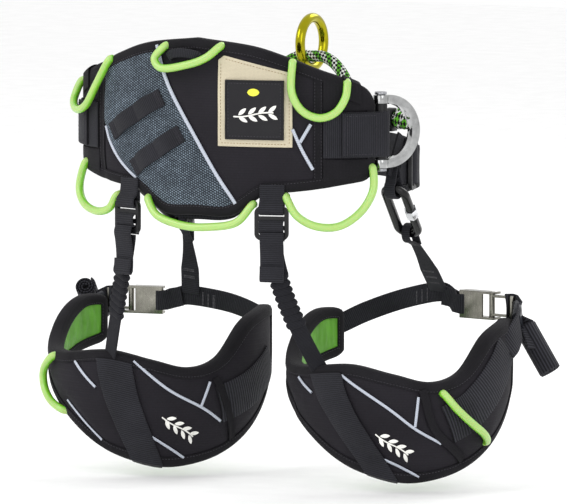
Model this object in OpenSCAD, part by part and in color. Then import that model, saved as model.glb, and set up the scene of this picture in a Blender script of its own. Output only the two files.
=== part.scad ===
// Tree climbing saddle: a padded waist belt with two leg loops, side rings and a rope bridge.
// Origin: centre of the waist opening at the belt's mid height.
// +X is the wearer's right, +Y the wearer's front, +Z up.

/* [Waist belt] */
// Height of the belt at the middle of the back
belt_h = 172; // [150:1:190]
// Height of the belt at its wing ends
wing_h = 84; // [76:1:100]
// Length of the padded belt along its curve
belt_len = 368; // [350:2:400]
// Radius of the belt across the back
back_r = 260; // [230:5:300]
// Radius of the belt round the hips
hip_r = 88; // [80:1:100]
// Thickness of the belt's foam
foam_t = 9; // [6:0.5:14]
// Thickness of the shell and lining cloths
cloth_t = 1.2; // [0.8:0.1:2]
// Width of the sewn edge binding
binding_w = 9; // [6:0.5:12]

/* [Webbing] */
// Width of the load webbing round the waist
web_w = 45; // [40:1:50]
// Thickness of the load webbing
web_t = 2; // [1.5:0.1:3]
// Width of the leg webbing
leg_web_w = 20; // [16:1:25]
// Width of the rear riser straps
riser_w = 25; // [20:1:28]

/* [Side rings] */
// Outer radius of the bow of a side ring
d_bow_r = 36; // [32:1:42]
// Width of the bow's polished face
d_face_w = 9; // [7:0.5:11]
// Thickness of the bow
d_t = 9; // [7:0.5:10]
// Radius of the steel pin that a side ring turns on
d_pin_r = 4; // [3:0.25:5]

/* [Bridge] */
// Diameter of the bridge rope
rope_d = 11.5; // [10:0.5:12]
// Outer diameter of the bridge ring
ring_d = 60; // [56:1:70]
// Diameter of the bridge ring's bar
ring_bar = 10; // [8:0.5:11]

/* [Leg loops] */
// Radius of a leg loop at its top edge
leg_r = 112; // [104:1:118]
// Amount that a leg pad closes in towards its bottom edge
leg_tuck = 22; // [10:1:30]
// Thickness of a leg pad's foam
leg_foam_t = 9; // [6:0.5:14]
// Length of the straight part of a leg link
link_len = 56; // [50:1:66]
// Diameter of a leg link's bar
link_bar = 9; // [8:0.5:11]
// Diameter of the gear loops
loop_d = 8; // [6:0.5:9]

/* [Hidden] */

// gap between layers that are sewn together, and between parts that move
gap = 0.4;
LEFT = -1;
RIGHT = 1;
sides = [LEFT, RIGHT];

// ---- the belt's plan: a wide arc across the back, then a tighter arc round each hip
half_len = belt_len / 2;
// sizes that the fixed tables below were drawn for, and how far this saddle departs from them
drawn_h = 172;
drawn_len = 368;
drawn_web_w = 45;
drawn_leg_r = 112;
high_share = belt_h / drawn_h;
girth = belt_len / drawn_len;
web_spare = (web_w - drawn_web_w) / 2;
leg_grow = leg_r - drawn_leg_r;
function risen(rows) = [for (p = rows) [for (i = [0:len(p) - 1]) p[i] * (i == 1 ? high_share : 1)]];
// a longer belt goes round a wider waist
back_bend = back_r * girth;
hip_bend = hip_r * girth;
back_deg = 31;
back_y = -120;
back_arc = back_bend * back_deg * PI / 180;
wing_deg = back_deg + (half_len - back_arc) / hip_bend * 180 / PI;
wing_corner = 14;
// heights of the belt's edges, as [distance along the belt, height]
top_rise = belt_h / 2 + 3;
bottom_drop = belt_h / 2 - 3;
wing_top = wing_h / 2 - 4;
wing_bottom = wing_h / 2 + 4;
top_edge = [[0, top_rise], each risen([[60, 82], [100, 70], [126, 60], [150, 52]]), [half_len, wing_top]];
bottom_edge = [[0, bottom_drop], [36, bottom_drop],
    each risen([[55, 72], [72, 61], [100, 58], [126, 55], [150, 51]]), [half_len, wing_bottom]];

function knot(x, t, i = 0) = (i >= len(t) - 2 || x < t[i + 1][0]) ? i : knot(x, t, i + 1);
function slope(t, i) =
    let (a = max(i - 1, 0), b = min(i + 1, len(t) - 1)) (t[b][1] - t[a][1]) / (t[b][0] - t[a][0]);
// smooth curve through the points of a table of [place, value]
function curve(x, t) =
    let (i = knot(x, t), h = t[i + 1][0] - t[i][0], u = (x - t[i][0]) / h)
    (2 * u ^ 3 - 3 * u ^ 2 + 1) * t[i][1] + (u ^ 3 - 2 * u ^ 2 + u) * h * slope(t, i)
    + (3 * u ^ 2 - 2 * u ^ 3) * t[i + 1][1] + (u ^ 3 - u ^ 2) * h * slope(t, i + 1);
// how far a rounded end cuts into an edge
function corner_cut(s, end, r) =
    s > end - r ? r - sqrt(max(0, r ^ 2 - (s - end + r) ^ 2)) : 0;
function belt_top(s) = curve(abs(s), top_edge) - corner_cut(abs(s), half_len, wing_corner);
function belt_bottom(s) = corner_cut(abs(s), half_len, wing_corner) - curve(abs(s), bottom_edge);

function belt_heading(s) = sign(s) * (abs(s) < back_arc ? abs(s) / back_bend * 180 / PI
    : back_deg + (abs(s) - back_arc) / hip_bend * 180 / PI);
// a point of the belt: distance along it, height, and distance out from the shell's face
belt_map = function(s, z, t)
    let (h = belt_heading(s), a = abs(h), over = abs(s) > back_arc)
    [sign(s) * (over ? (back_bend - hip_bend) * sin(back_deg) + hip_bend * sin(a) : back_bend * sin(a))
        + t * sin(h),
     back_y + (over ? back_bend - (back_bend - hip_bend) * cos(back_deg) - hip_bend * cos(a)
        : back_bend * (1 - cos(a))) - t * cos(h), z];

// ---- the front of the waist: two arcs a side that close at the buckle
web_z = -36;
hip_web_z = -3;
front_r1 = 80 * girth;
front_turn = 125;
wing_pt = belt_map(half_len - 14, 0, -foam_t);
wing_h0 = belt_heading(half_len - 14);
front_r2 = (wing_pt[0] + front_r1 * (sin(front_turn) - sin(wing_h0))) / sin(front_turn);
// a point of the right front webbing by its heading, and the same mirrored for the left
function front_xy(h, t) =
    let (turn = min(h, front_turn),
        x1 = wing_pt[0] + front_r1 * (sin(turn) - sin(wing_h0)),
        y1 = wing_pt[1] + front_r1 * (cos(wing_h0) - cos(turn)),
        over = h > front_turn)
    [x1 + (over ? front_r2 * (sin(h) - sin(front_turn)) : 0) + t * sin(h),
     y1 + (over ? front_r2 * (cos(front_turn) - cos(h)) : 0) - t * cos(h)];
function front_z(h) =
    h < 100 ? hip_web_z + (web_z - hip_web_z) * (h - wing_h0) / (100 - wing_h0) : web_z;
front_y = front_xy(180, 0)[1];

// ---- leg loops: each is a band round a thigh, lower at the back
leg_c = [[-137, 52], [137, 52]];
leg_end = 118;
leg_top_edge = [[-120, -196], [-98, -198], [-62, -234], [-35, -240], [0, -234], [25, -243],
    [45, -251], [62, -242], [80, -210], [95, -200], [120, -196]];
leg_bottom_edge = [[-120, -240], [-90, -252], [-62, -268], [-35, -300], [-10, -330], [10, -343],
    [32, -350], [55, -346], [75, -335], [95, -312], [108, -284], [120, -242]];
leg_corner = 5;
function leg_top(a) = curve(a, leg_top_edge) - leg_corner * corner_cut(abs(a), leg_end, 6) / 6;
function leg_bottom(a) = curve(a, leg_bottom_edge) + leg_corner * corner_cut(abs(a), leg_end, 6) / 6;
function tuck(z) = leg_tuck * min(1, max(0, (-245 - z) / 105)) ^ 2;
function leg_map(k) = function(a, z, t)
    [leg_c[k][0] + (leg_r - tuck(z) + t) * sin(a), leg_c[k][1] - (leg_r - tuck(z) + t) * cos(a), z];

// ---- sweeping and sheet tools
function unit(v) = v / norm(v);
function mid(r) = [for (k = [0:2]) sum([for (p = r) p[k]]) / len(r)];
function sum(v, i = 0) = i < len(v) ? v[i] + sum(v, i + 1) : 0;
function turn_of(r, c, i = 0) =
    i < len(r) ? cross(r[i] - c, r[(i + 1) % len(r)] - c) + turn_of(r, c, i + 1) : [0, 0, 0];

// closed skin over a row of rings, or over a loop of rings when round is true
module loft(rings, round = false) {
    n = len(rings);
    m = len(rings[0]);
    c0 = mid(rings[0]);
    flip = turn_of(rings[0], c0) * (mid(rings[1]) - c0) > 0;
    walls = [for (i = [0:round ? n - 1 : n - 2], k = [0:m - 1])
        let (a = i * m + k, b = i * m + (k + 1) % m, j = (i + 1) % n,
            c = j * m + (k + 1) % m, d = j * m + k) each [[a, b, c], [a, c, d]]];
    rungs = [for (k = [0:m / 2 - 2]) [k, k + 1, m - 2 - k, m - 1 - k]];
    last = (n - 1) * m;
    caps = round ? [] : [for (q = rungs) each [[q[2], q[1], q[0]], [q[3], q[2], q[0]],
        [last + q[0], last + q[1], last + q[2]], [last + q[0], last + q[2], last + q[3]]]];
    faces = concat(walls, caps);
    turned = flip ? [for (f = faces) [for (k = [len(f) - 1:-1:0]) f[k]]] : faces;
    polyhedron([for (r = rings) each r], turned);
}

// solid between two grids of points that face each other
module sheet(outer, inner) {
    n = len(outer);
    m = len(outer[0]);
    back = n * m;
    function at(i, j) = i * m + j;
    quads = concat(
        [for (i = [0:n - 2], j = [0:m - 2]) [at(i, j), at(i, j + 1), at(i + 1, j + 1), at(i + 1, j)]],
        [for (i = [0:n - 2], j = [0:m - 2])
            [back + at(i, j), back + at(i + 1, j), back + at(i + 1, j + 1), back + at(i, j + 1)]],
        [for (i = [0:n - 2]) [at(i, 0), at(i + 1, 0), back + at(i + 1, 0), back + at(i, 0)]],
        [for (i = [0:n - 2]) [at(i + 1, m - 1), at(i, m - 1), back + at(i, m - 1),
            back + at(i + 1, m - 1)]],
        [for (j = [0:m - 2]) [at(0, j + 1), at(0, j), back + at(0, j), back + at(0, j + 1)]],
        [for (j = [0:m - 2]) [at(n - 1, j), at(n - 1, j + 1), back + at(n - 1, j + 1),
            back + at(n - 1, j)]]);
    polyhedron(concat([for (r = outer) each r], [for (r = inner) each r]),
        [for (q = quads) each [[q[0], q[1], q[2]], [q[0], q[2], q[3]]]]);
}

// a layer on a mapped surface between two edges, from depth t0 out to t1
module layer(map, places, low, high, t0, t1, rows = 4) {
    function grid(t) = [for (s = places) [for (j = [0:rows])
        map(s, low(s) + (high(s) - low(s)) * j / rows, t)]];
    sheet(grid(t1), grid(t0));
}

// a strip that follows points of [place, height] on a mapped surface
module strip(map, route, width, t0, t1, scale_s = 1) {
    n = len(route);
    function along(i) = let (d = route[min(i + 1, n - 1)] - route[max(i - 1, 0)])
        unit([d[0] * scale_s, d[1]]);
    function across(i, w) = let (d = along(i))
        [route[i][0] - w * d[1] / scale_s, route[i][1] + w * d[0]];
    cols = max(1, round(width / 5));
    edge = concat([for (c = [0:cols]) [c / cols * 2 - 1, t0]],
        [for (c = [cols:-1:0]) [c / cols * 2 - 1, t1]]);
    loft([for (i = [0:n - 1]) [for (c = edge)
        let (p = across(i, c[0] * width / 2)) map(p[0], p[1], c[1])]]);
}

// points between the given ones, evenly in number, on a smooth curve
function refine(p, per) =
    let (n = len(p), t = [for (i = [0:n - 1]) [i, p[i]]])
    [for (k = [0:(n - 1) * per]) curve(k / per, t)];
function tangent(p, i) = unit(p[min(i + 1, len(p) - 1)] - p[max(i - 1, 0)]);
// section carried along a path, its second axis kept towards up
module sweep(path, up, section) {
    loft([for (i = [0:len(path) - 1])
        let (t = tangent(path, i), a = unit(cross(t, up)), b = cross(a, t))
        [for (q = section) path[i] + q[0] * a + q[1] * b]]);
}
function round_section(r, n) = [for (k = [0:n - 1]) r * [cos(360 * k / n), sin(360 * k / n)]];
function flat_section(w, t) = [[-w, -t] / 2, [w, -t] / 2, [w, t] / 2, [-w, t] / 2];
function even(a, b, n) = [for (k = [0:n]) a + (b - a) * k / n];
// places that crowd towards the rounded ends
function crowded(end, n) = [for (k = [0:n]) end * sin(-90 + 180 * k / n)];
module rounded_plate(x, y, r, t) {
    linear_extrude(t, center = true)
        union() {
            square([x - 2 * r, y], center = true);
            square([x, y - 2 * r], center = true);
            for (i = [-1, 1], j = [-1, 1])
                translate([i * (x / 2 - r), j * (y / 2 - r)]) circle(r, $fn = 24);
        }
}

inset = 2.5;
belt_places = crowded(half_len - inset, 44);
lining_out = -foam_t - 2 * cloth_t - 4 * gap;
lining_in = lining_out - cloth_t;
leg_inset = inset / leg_r * 180 / PI + 0.3;
leg_places = crowded(leg_end - leg_inset, 56);
leg_gap = 0.6;
// height over the shell of anything that lies on the binding
over_binding = cloth_t + 2 * gap;

// ---- waist belt, soft layers
module belt_layer(t0, t1)
    layer(belt_map, belt_places, function(s) belt_bottom(s) + inset,
        function(s) belt_top(s) - inset, t0, t1);
module belt_shell() color("#1c1d1f") belt_layer(-cloth_t, 0);
module belt_foam() color("#2a2b2d") belt_layer(-cloth_t - gap - foam_t, -cloth_t - gap);
// the lining hangs a little below the shell across the back
lining_drop = 8;
lining_drop_s = 70;
function lining_bottom(s) = belt_bottom(s) + 1
    - (abs(s) < lining_drop_s ? lining_drop * cos(abs(s) * 90 / lining_drop_s) : 0);
module belt_lining() color("#3a3c3f")
    layer(belt_map, belt_places, function(s) lining_bottom(s), function(s) belt_top(s) - 1,
        lining_in, lining_out);

// rings of a bent binding round a closed edge of [place, height] points
module edge_binding(map, edge, scale_s, width, inner_t) {
    n = len(edge);
    out = gap + cloth_t;
    low = inner_t - gap;
    section = [[width, gap], [width, out], [-1.5, out], [-1.5, low - cloth_t],
        [width, low - cloth_t], [width, low], [-0.3, low], [-0.3, gap]];
    loft([for (i = [0:n - 1])
        let (d = edge[(i + 1) % n] - edge[(i + n - 1) % n], u = unit([d[0] * scale_s, d[1]]))
        [for (q = section) map(edge[i][0] - q[0] * u[1] / scale_s, edge[i][1] + q[0] * u[0], q[1])]],
        round = true);
}
function ring_edge(places, low, high) =
    concat([for (s = places) [s, low(s)]],
        [for (k = [len(places) - 1:-1:0]) [places[k], high(places[k])]]);
module belt_binding() color("#151618")
    edge_binding(belt_map, ring_edge(crowded(half_len - 0.5, 52), function(s) belt_bottom(s),
        function(s) belt_top(s)), 1, binding_w, -foam_t - cloth_t - gap);

// ---- pale piping, and the mesh panel that it bounds
pipe_a = risen([[-43, 73], [-30, 42], [0, -6], [24, -44], [38, -64]]);
pipe_b = risen([[-119, -3], [-112, -18], [-98, -34], [-86, -44], [-78, -47.5]]);
pipe_c = risen([[103, 0], [110, -17], [119, -34]]);
pipe_d = risen([[108.5, -10], [119, 8]]);
pipe_w = 2.6;
function pipe_a_at(z) = curve(-z, [for (p = pipe_a) [-p[1], p[0]]]);
// the mesh's left edge by depth below mid height: along the belt's top, then in to its bottom
mesh_left = [[-68, -50], [-60, -90], [-46, -114], [-10, -111], [18, -105], [34, -91], [47, -76],
    [58, -59], [68, -45]];
mesh_top = 68 * high_share;
mesh_low = -64 * high_share;
function mesh_row(z, t) =
    let (left = curve(-z / high_share, mesh_left), right = pipe_a_at(z) - 3)
    [for (v = even(0, 1, 16)) belt_map(right + (left - right) * v, z, t)];
function mesh_grid(t) = [for (z = even(mesh_top, mesh_low, 28)) mesh_row(z, t)];
module mesh_panel() color("#5b6f86") sheet(mesh_grid(cloth_t), mesh_grid(gap));
module belt_piping() color("#d9dee2") {
    strip(belt_map, refine(pipe_a, 4), pipe_w + 0.4, gap, 2.6);
    strip(belt_map, refine(pipe_b, 3), pipe_w, gap + cloth_t, 2.9);
    strip(belt_map, refine(pipe_c, 3), pipe_w, gap, 2.4);
    strip(belt_map, even(pipe_d[0], pipe_d[1], 4), pipe_w, gap, 2.4);
}

// ---- label on the back
label_s = [26, 101];
label_low = -15 * high_share;
label_high = [76, 58] * high_share;
label_margin = 8;
plate_high = 51 * high_share;
plate_t = 1.4;
function label_edge(s) =
    label_high[0] + (label_high[1] - label_high[0]) * (s - label_s[0]) / (label_s[1] - label_s[0]);
module label_backing() color("#e6dfc6")
    layer(belt_map, even(label_s[0], label_s[1], 8), function(s) label_low,
        function(s) label_edge(s), gap, gap + cloth_t, 3);
module label_plate() color("#17181a")
    layer(belt_map, even(label_s[0] + label_margin, label_s[1] - label_margin, 8),
        function(s) label_low + label_margin - 1, function(s) plate_high,
        over_binding, over_binding + plate_t, 2);

// ---- webbing on the belt
carrier_routes = [risen([[-106, -8], [-70, 13], [-37, 31]]), risen([[-75, -42], [-43, -22], [-14, -4]])];
carrier_w = 18;
carrier_t = 2.4;
// places from a to b along the belt on one side, in rising order
function hip_places(k, a, b, n) = even(min(k * a, k * b), max(k * a, k * b), n);
module tool_carriers() color("#26282b")
    for (route = carrier_routes)
        strip(belt_map, refine(route, 4), carrier_w, cloth_t + gap, cloth_t + gap + carrier_t);
module seam_tapes() color("#1f2022")
    for (k = sides) layer(belt_map, hip_places(k, 122, 130, 2),
        function(s) -44, function(s) 48, gap, gap + 1, 3);
module hip_webbing() color("#303236")
    for (k = sides) layer(belt_map, hip_places(k, half_len - 52, half_len - 2, 8),
        function(s) hip_web_z - web_w / 2, function(s) hip_web_z + web_w / 2,
        over_binding, over_binding + web_t, 2);
module hip_patches() color("#35373b")
    for (k = sides) layer(belt_map, hip_places(k, half_len - 35, half_len - 3, 5),
        function(s) hip_web_z - web_w / 2 + 1, function(s) hip_web_z + web_w / 2 - 1,
        over_binding + web_t + gap, over_binding + 2 * web_t + gap, 2);
module wing_caps() color("#202123")
    for (k = sides) layer(belt_map, hip_places(k, half_len - 34, half_len - wing_corner - 3, 6),
        function(s) hip_web_z + web_w / 2 + 2, function(s) belt_top(s) - binding_w - 1,
        gap, gap + 1.6, 2);
handle_s = [-27, 6];
handle_t = 2.5;
function handle_rise(s) =
    2 + 5 * cos(90 * (2 * s - handle_s[0] - handle_s[1]) / (handle_s[1] - handle_s[0] + 1));
function handle_grid(t) =
    [for (s = even(handle_s[0], handle_s[1], 8))
        [for (z = [72, 77] * high_share) belt_map(s, z, handle_rise(s) + t)]];
module grab_handle() color("#1b1c1e") sheet(handle_grid(handle_t), handle_grid(0));

// ---- gear loops, each a tube on points of [distance along, height, distance out]
upper_loops = [
    [[-35, 80, 7], [-42, 69, 9], [-31, 60, 11], [-2, 65, 11], [16, 72, 10], [27, 82, 7]],
    [[-112, 62, 7], [-126, 38, 9], [-143, 16, 11], [-163, 11, 12], [-180, 20, 11], [-184, 36, 8]],
    [[101, 66, 7], [101, 40, 9], [111, 22, 11], [127, 15, 12], [142, 20, 12], [151, 34, 10], [154, 47, 7]]];
lower_loops = [
    [[-160, -44, 7], [-162, -66, 9], [-148, -82, 10], [-124, -88, 10], [-106, -84, 8], [-100, -72, 7]],
    [[-54, -72, 7], [-39, -87, 8], [-8, -95, 9], [20, -95, 9], [46, -90, 8], [60, -74, 7]],
    [[96, -66, 7], [106, -82, 9], [124, -92, 10], [146, -92, 10], [166, -78, 9], [178, -58, 8],
        [180, -38, 7]]];
function middle(row) = (row[0][0] + row[len(row) - 1][0]) / 2;
// the direction straight out of a mapped surface at a place
function out_of(map, s, z) = map(s, z, 1) - map(s, z, 0);
module gear_loop(map, row)
    sweep([for (q = refine(row, 4)) map(q[0], q[1], q[2])], out_of(map, middle(row), row[0][1]),
        round_section(loop_d / 2, 8));
module gear_loops(rows) color("#9ddb45") for (row = rows) gear_loop(belt_map, risen(row));
module upper_gear_loops() gear_loops(upper_loops);
module lower_gear_loops() gear_loops(lower_loops);

// ---- side rings on their pins at the wing ends
loop_in = d_pin_r + 2.5 + gap;
pin_out = 11;
bow_r = d_bow_r + web_spare;
pin_pt = belt_map(half_len + pin_out, 0, over_binding - loop_in);
ring_z = -1;
ring_turn = 60;
sleeve_r = d_pin_r + 2.5;
lug_h = 8;
lug_z = bow_r - lug_h / 2;
pin_head_t = 3;
module at_pin(k) translate([k * pin_pt[0], pin_pt[1], ring_z]) mirror([k == LEFT ? 1 : 0, 0, 0]) children();
module side_ring(k) color("#c9ccd0") at_pin(k) rotate([0, 0, ring_turn]) difference() {
    union() {
        translate([7, 0, 0]) rotate([90, 0, 0]) rotate([0, 0, -90])
            rotate_extrude(angle = 180, $fn = 96)
                translate([bow_r - d_face_w, -d_t / 2]) square([d_face_w, d_t]);
        for (j = [-1, 1]) translate([0, 0, j * lug_z]) {
            cylinder(r = sleeve_r + 1, h = lug_h, center = true, $fn = 48);
            translate([3.6, 0, 0]) cube([7.2, d_t, lug_h], center = true);
        }
    }
    cylinder(r = d_pin_r + 0.06, h = 3 * bow_r, center = true, $fn = 48);
}
module side_ring_left() side_ring(LEFT);
module side_ring_right() side_ring(RIGHT);
module side_ring_pins() color("#8d9196")
    for (k = sides) at_pin(k) {
        cylinder(r = d_pin_r, h = 2 * bow_r + 4, center = true, $fn = 48);
        for (j = [-1, 1]) translate([0, 0, j * (bow_r + gap + pin_head_t / 2)])
            cylinder(r = d_pin_r + 2, h = pin_head_t, center = true, $fn = 48);
    }
sleeve_h = 2 * (bow_r - lug_h - gap);
module side_ring_sleeves() color("#141516")
    for (k = sides) at_pin(k) difference() {
        cylinder(r = sleeve_r, h = sleeve_h, center = true, $fn = 48);
        cylinder(r = d_pin_r + 0.05, h = sleeve_h + 1, center = true, $fn = 48);
    }
// webbing that holds a pin: a loop round the sleeve, and a tongue back under the hip webbing
tongue = belt_heading(half_len + pin_out);
module pin_webbing_loops() color("#303236")
    for (k = sides) at_pin(k) translate([0, 0, hip_web_z - ring_z]) linear_extrude(web_w, center = true)
        difference() {
            union() {
                circle(loop_in + web_t, $fn = 48);
                rotate(tongue + 180) translate([0, loop_in]) square([pin_out + 1, web_t]);
            }
            circle(loop_in, $fn = 48);
        }

// ---- front of the waist
band_h0 = 82;
buckle_half = 30.5;
band_h1 = 180 - buckle_half / front_r2 * 180 / PI;
function band_grid(t) = [for (h = even(band_h0, band_h1, 30))
    [for (z = [-web_w / 2, web_w / 2]) [each front_xy(h, t), front_z(h) + z]]];
module front_webbing_right() color("#2b2d30") sheet(band_grid(0), band_grid(-web_t));
module front_webbing_left() mirror([1, 0, 0]) front_webbing_right();
// a frame with two slots that the waist webbing doubles back through
adjuster_h = 110;
module waist_adjusters() color("#1a1b1d")
    for (k = sides) mirror([k == LEFT ? 1 : 0, 0, 0])
        translate([each front_xy(adjuster_h, 4.4), front_z(adjuster_h)])
            rotate([0, 0, adjuster_h]) rotate([90, 0, 0]) difference() {
                rounded_plate(38, web_w + 10, 8, 4);
                for (j = [-1, 1]) translate([j * 8, 0, 0]) cube([9, web_w + 1, 6], center = true);
            }
// eyes on the front webbing that the rope bridge ends in
eye_h = 146;
eye_z = web_z + web_w / 2 + 13;
eye_pt = [each front_xy(eye_h, 5), eye_z];
module bridge_eyes() color("#3b3d40")
    for (k = sides) mirror([k == LEFT ? 1 : 0, 0, 0]) translate(eye_pt) rotate([0, 90, 0]) difference() {
        union() {
            cylinder(r = 11, h = 8, center = true, $fn = 48);
            translate([8.5, -1, 0]) cube([8, 12, 8], center = true);
        }
        cylinder(r = rope_d / 2 + 1, h = 10, center = true, $fn = 48);
    }

// ---- rope bridge: a stiff arch between the two eyes, with a stopper knot outside each
rope_half = [[0, 122, 56], [13, 122, 56], [26, 121, 50], [38, 119, 38], [49, 115, 22], [60, 110, 6],
    [74, 105, 0]];
rope_in = [eye_pt[0] - 14, eye_pt[1], eye_z];
rope_end = [eye_pt[0] + 7, eye_pt[1], eye_z];
function mirrored(p) = [-p[0], p[1], p[2]];
rope_right = concat([for (i = [1:len(rope_half) - 1]) rope_half[i]], [rope_in, rope_end]);
rope_left = [for (i = [len(rope_right) - 1:-1:0]) mirrored(rope_right[i])];
rope_route = concat(rope_left, [rope_half[0]], rope_right);
knot_r = 11;
module bridge_rope() color("#7fb24a") {
    sweep(refine(rope_route, 3), [0, 1, 0.3], round_section(rope_d / 2, 10));
    for (k = sides) translate([k * (rope_end[0] + 8.6), rope_end[1], rope_end[2]]) rotate([0, 90, 0])
        cylinder(r = knot_r, h = 17, center = true, $fn = 32);
}
ring_c = [0, 122, 56 + ring_d / 2 - ring_bar - rope_d / 2 - gap];
module bridge_ring() color("#c9a227")
    translate(ring_c) rotate([0, 90, 0]) rotate_extrude($fn = 96)
        translate([(ring_d - ring_bar) / 2, 0]) circle(ring_bar / 2, $fn = 32);

// ---- buckles: a hook plate whose cheeks are notched, and a frame whose end bar drops in the notches
bar_x = 7;
bar_y = 6.5;
bar_r = 3;
cheek_t = 2.4;
frame_reach = 24;
strap_bar_r = 2.6;
module buckle_hook(w, len) color("#9a9c98") difference() {
    union() {
        translate([-len / 2, 0, 0]) cube([len, cheek_t, w + 8], center = true);
        for (j = [-1, 1]) translate([(bar_x + 7 - len) / 2, 5.2, j * (w / 2 + 2.8)])
            cube([len + bar_x + 7, 12.8, cheek_t], center = true);
        translate([-len + 1, 1.6, 0]) cylinder(r = strap_bar_r, h = w + 8, center = true, $fn = 32);
    }
    for (j = [-1, 1]) translate([bar_x, bar_y, j * (w / 2 + 2.8)]) {
        cylinder(r = bar_r + gap, h = 5, center = true, $fn = 32);
        translate([0.8, 5, 0]) cube([2 * bar_r + 2.8, 10, 5], center = true);
    }
}
module buckle_frame(w) color("#b4b6b8") translate([bar_x, bar_y, 0]) {
    cylinder(r = bar_r, h = w + 7.6, center = true, $fn = 32);
    for (j = [-1, 1]) translate([frame_reach / 2, 0, j * (w / 2 - 0.6)])
        cube([frame_reach, 5, cheek_t], center = true);
    translate([frame_reach, 0, 0]) cylinder(r = strap_bar_r, h = w + 1.2, center = true, $fn = 32);
}
module at_waist_buckle() translate([-4, front_y - bar_y - 1, web_z]) children();
module waist_buckle_hook() at_waist_buckle() buckle_hook(web_w, 22);
module waist_buckle_frame() at_waist_buckle() buckle_frame(web_w);

// ---- leg links: long steel loops hung from sewn eyes under the front webbing
hang_pt = [[-150 * girth, 38 * girth, -69 - web_spare], [166 * girth, -16 * girth, -60 - web_spare]];
link_dir = [unit([18, 54, -44]), unit([-14, 66, -56])];
link_w = 30;
bend_r = (link_w - link_bar) / 2;
hang_gap = 3.6;
function link_point(i, down) = hang_pt[i] + (bend_r + down) * link_dir[i];
link_foot = [for (i = [0, 1]) link_point(i, link_len + bend_r)];
// turns z along a link, with x kept across it
module at_link(i) {
    d = link_dir[i];
    translate(link_point(i, 0)) rotate([atan2(d[1], -d[2]), 0, 0])
        rotate([0, atan2(-d[0], norm([d[1], d[2]])), 0]) children();
}
module leg_link(i) color("#16171a") at_link(i) {
    for (k = [0, 1]) translate([0, 0, -k * link_len]) rotate([90, 0, 0]) rotate([0, 0, 180 * k])
        rotate_extrude(angle = 180, $fn = 64) translate([bend_r, 0]) circle(link_bar / 2, $fn = 24);
    for (j = [-1, 1]) translate([j * bend_r, 0, -link_len])
        cylinder(r = link_bar / 2, h = link_len, $fn = 24);
}
module leg_link_nuts(i) color("#d5d7d9") at_link(i) translate([bend_r, 0, -link_len / 2]) difference() {
    cylinder(r = link_bar / 2 + 2.2, h = 12, center = true, $fn = 6);
    cylinder(r = link_bar / 2 + 0.05, h = 13, center = true, $fn = 24);
}
module leg_link_left() leg_link(0);
module leg_link_right() leg_link(1);
module leg_link_nuts_left() leg_link_nuts(0);
module leg_link_nuts_right() leg_link_nuts(1);
module link_hangers() color("#232427")
    for (p = hang_pt) translate(p) rotate([0, 90, 0]) difference() {
        cylinder(r = link_bar / 2 + hang_gap + web_t, h = 6, center = true, $fn = 48);
        cylinder(r = link_bar / 2 + hang_gap, h = 7, center = true, $fn = 48);
    }

// ---- front leg straps: an eye round the link's foot, a drop, and a cross strap from the pad's inner end
join_pt = [[-142, 125, -194], [144, 125, -176]];
inner_z = [-218, -212];
module leg_front_strap(i) color("#26272a") {
    k = sides[i];
    j = join_pt[i];
    foot = link_foot[i];
    eye_r = link_bar / 2 + hang_gap;
    translate(foot) rotate([0, 90, 0]) difference() {
        cylinder(r = eye_r + web_t, h = 6, center = true, $fn = 48);
        cylinder(r = eye_r, h = 7, center = true, $fn = 48);
    }
    drop = unit(j - foot);
    top = foot + (eye_r + web_t + gap) * drop;
    low = j - 10 * drop;
    sweep([top, top + (low - top) / 3 + [0, 2, 0], top + (low - top) * 0.7 + [0, 1.5, 0], low],
        [0, 0.7, 0.7], flat_section(leg_web_w, 2 * web_t));
    fall = j[2] - inner_z[i];
    cross_strap = [[k * 40.5, 108, inner_z[i]], [k * 62, 124, inner_z[i] + fall / 3],
        [k * 100, 131, inner_z[i] + fall * 2 / 3 + 2], j, [k * (164 + leg_grow), 121, j[2] - 3]];
    sweep(refine(cross_strap, 3), [0, 1, 0], flat_section(leg_web_w, web_t));
}
module leg_front_strap_left() leg_front_strap(0);
module leg_front_strap_right() leg_front_strap(1);

// ---- leg pads
leg_lining_out = -leg_foam_t - cloth_t - 2 * leg_gap;
module leg_layer(i, t0, t1, c) color(c)
    layer(leg_map(i), leg_places, function(a) leg_bottom(a) + inset,
        function(a) leg_top(a) - inset, t0, t1, 3);
module leg_shell_left() leg_layer(0, -cloth_t, 0, "#1c1d1f");
module leg_shell_right() leg_layer(1, -cloth_t, 0, "#1c1d1f");
foam_out = -cloth_t - leg_gap;
module leg_foam_left() leg_layer(0, foam_out - leg_foam_t, foam_out, "#2a2b2d");
module leg_foam_right() leg_layer(1, foam_out - leg_foam_t, foam_out, "#2a2b2d");
module leg_lining_left() leg_layer(0, leg_lining_out - cloth_t, leg_lining_out, "#6fb03a");
module leg_lining_right() leg_layer(1, leg_lining_out - cloth_t, leg_lining_out, "#6fb03a");
module leg_binding(i) color("#151618")
    edge_binding(leg_map(i), ring_edge(crowded(leg_end - 0.3, 60), function(a) leg_bottom(a),
        function(a) leg_top(a)), leg_r * PI / 180, binding_w, leg_lining_out - cloth_t - 0.4);
module leg_binding_left() leg_binding(0);
module leg_binding_right() leg_binding(1);
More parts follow.
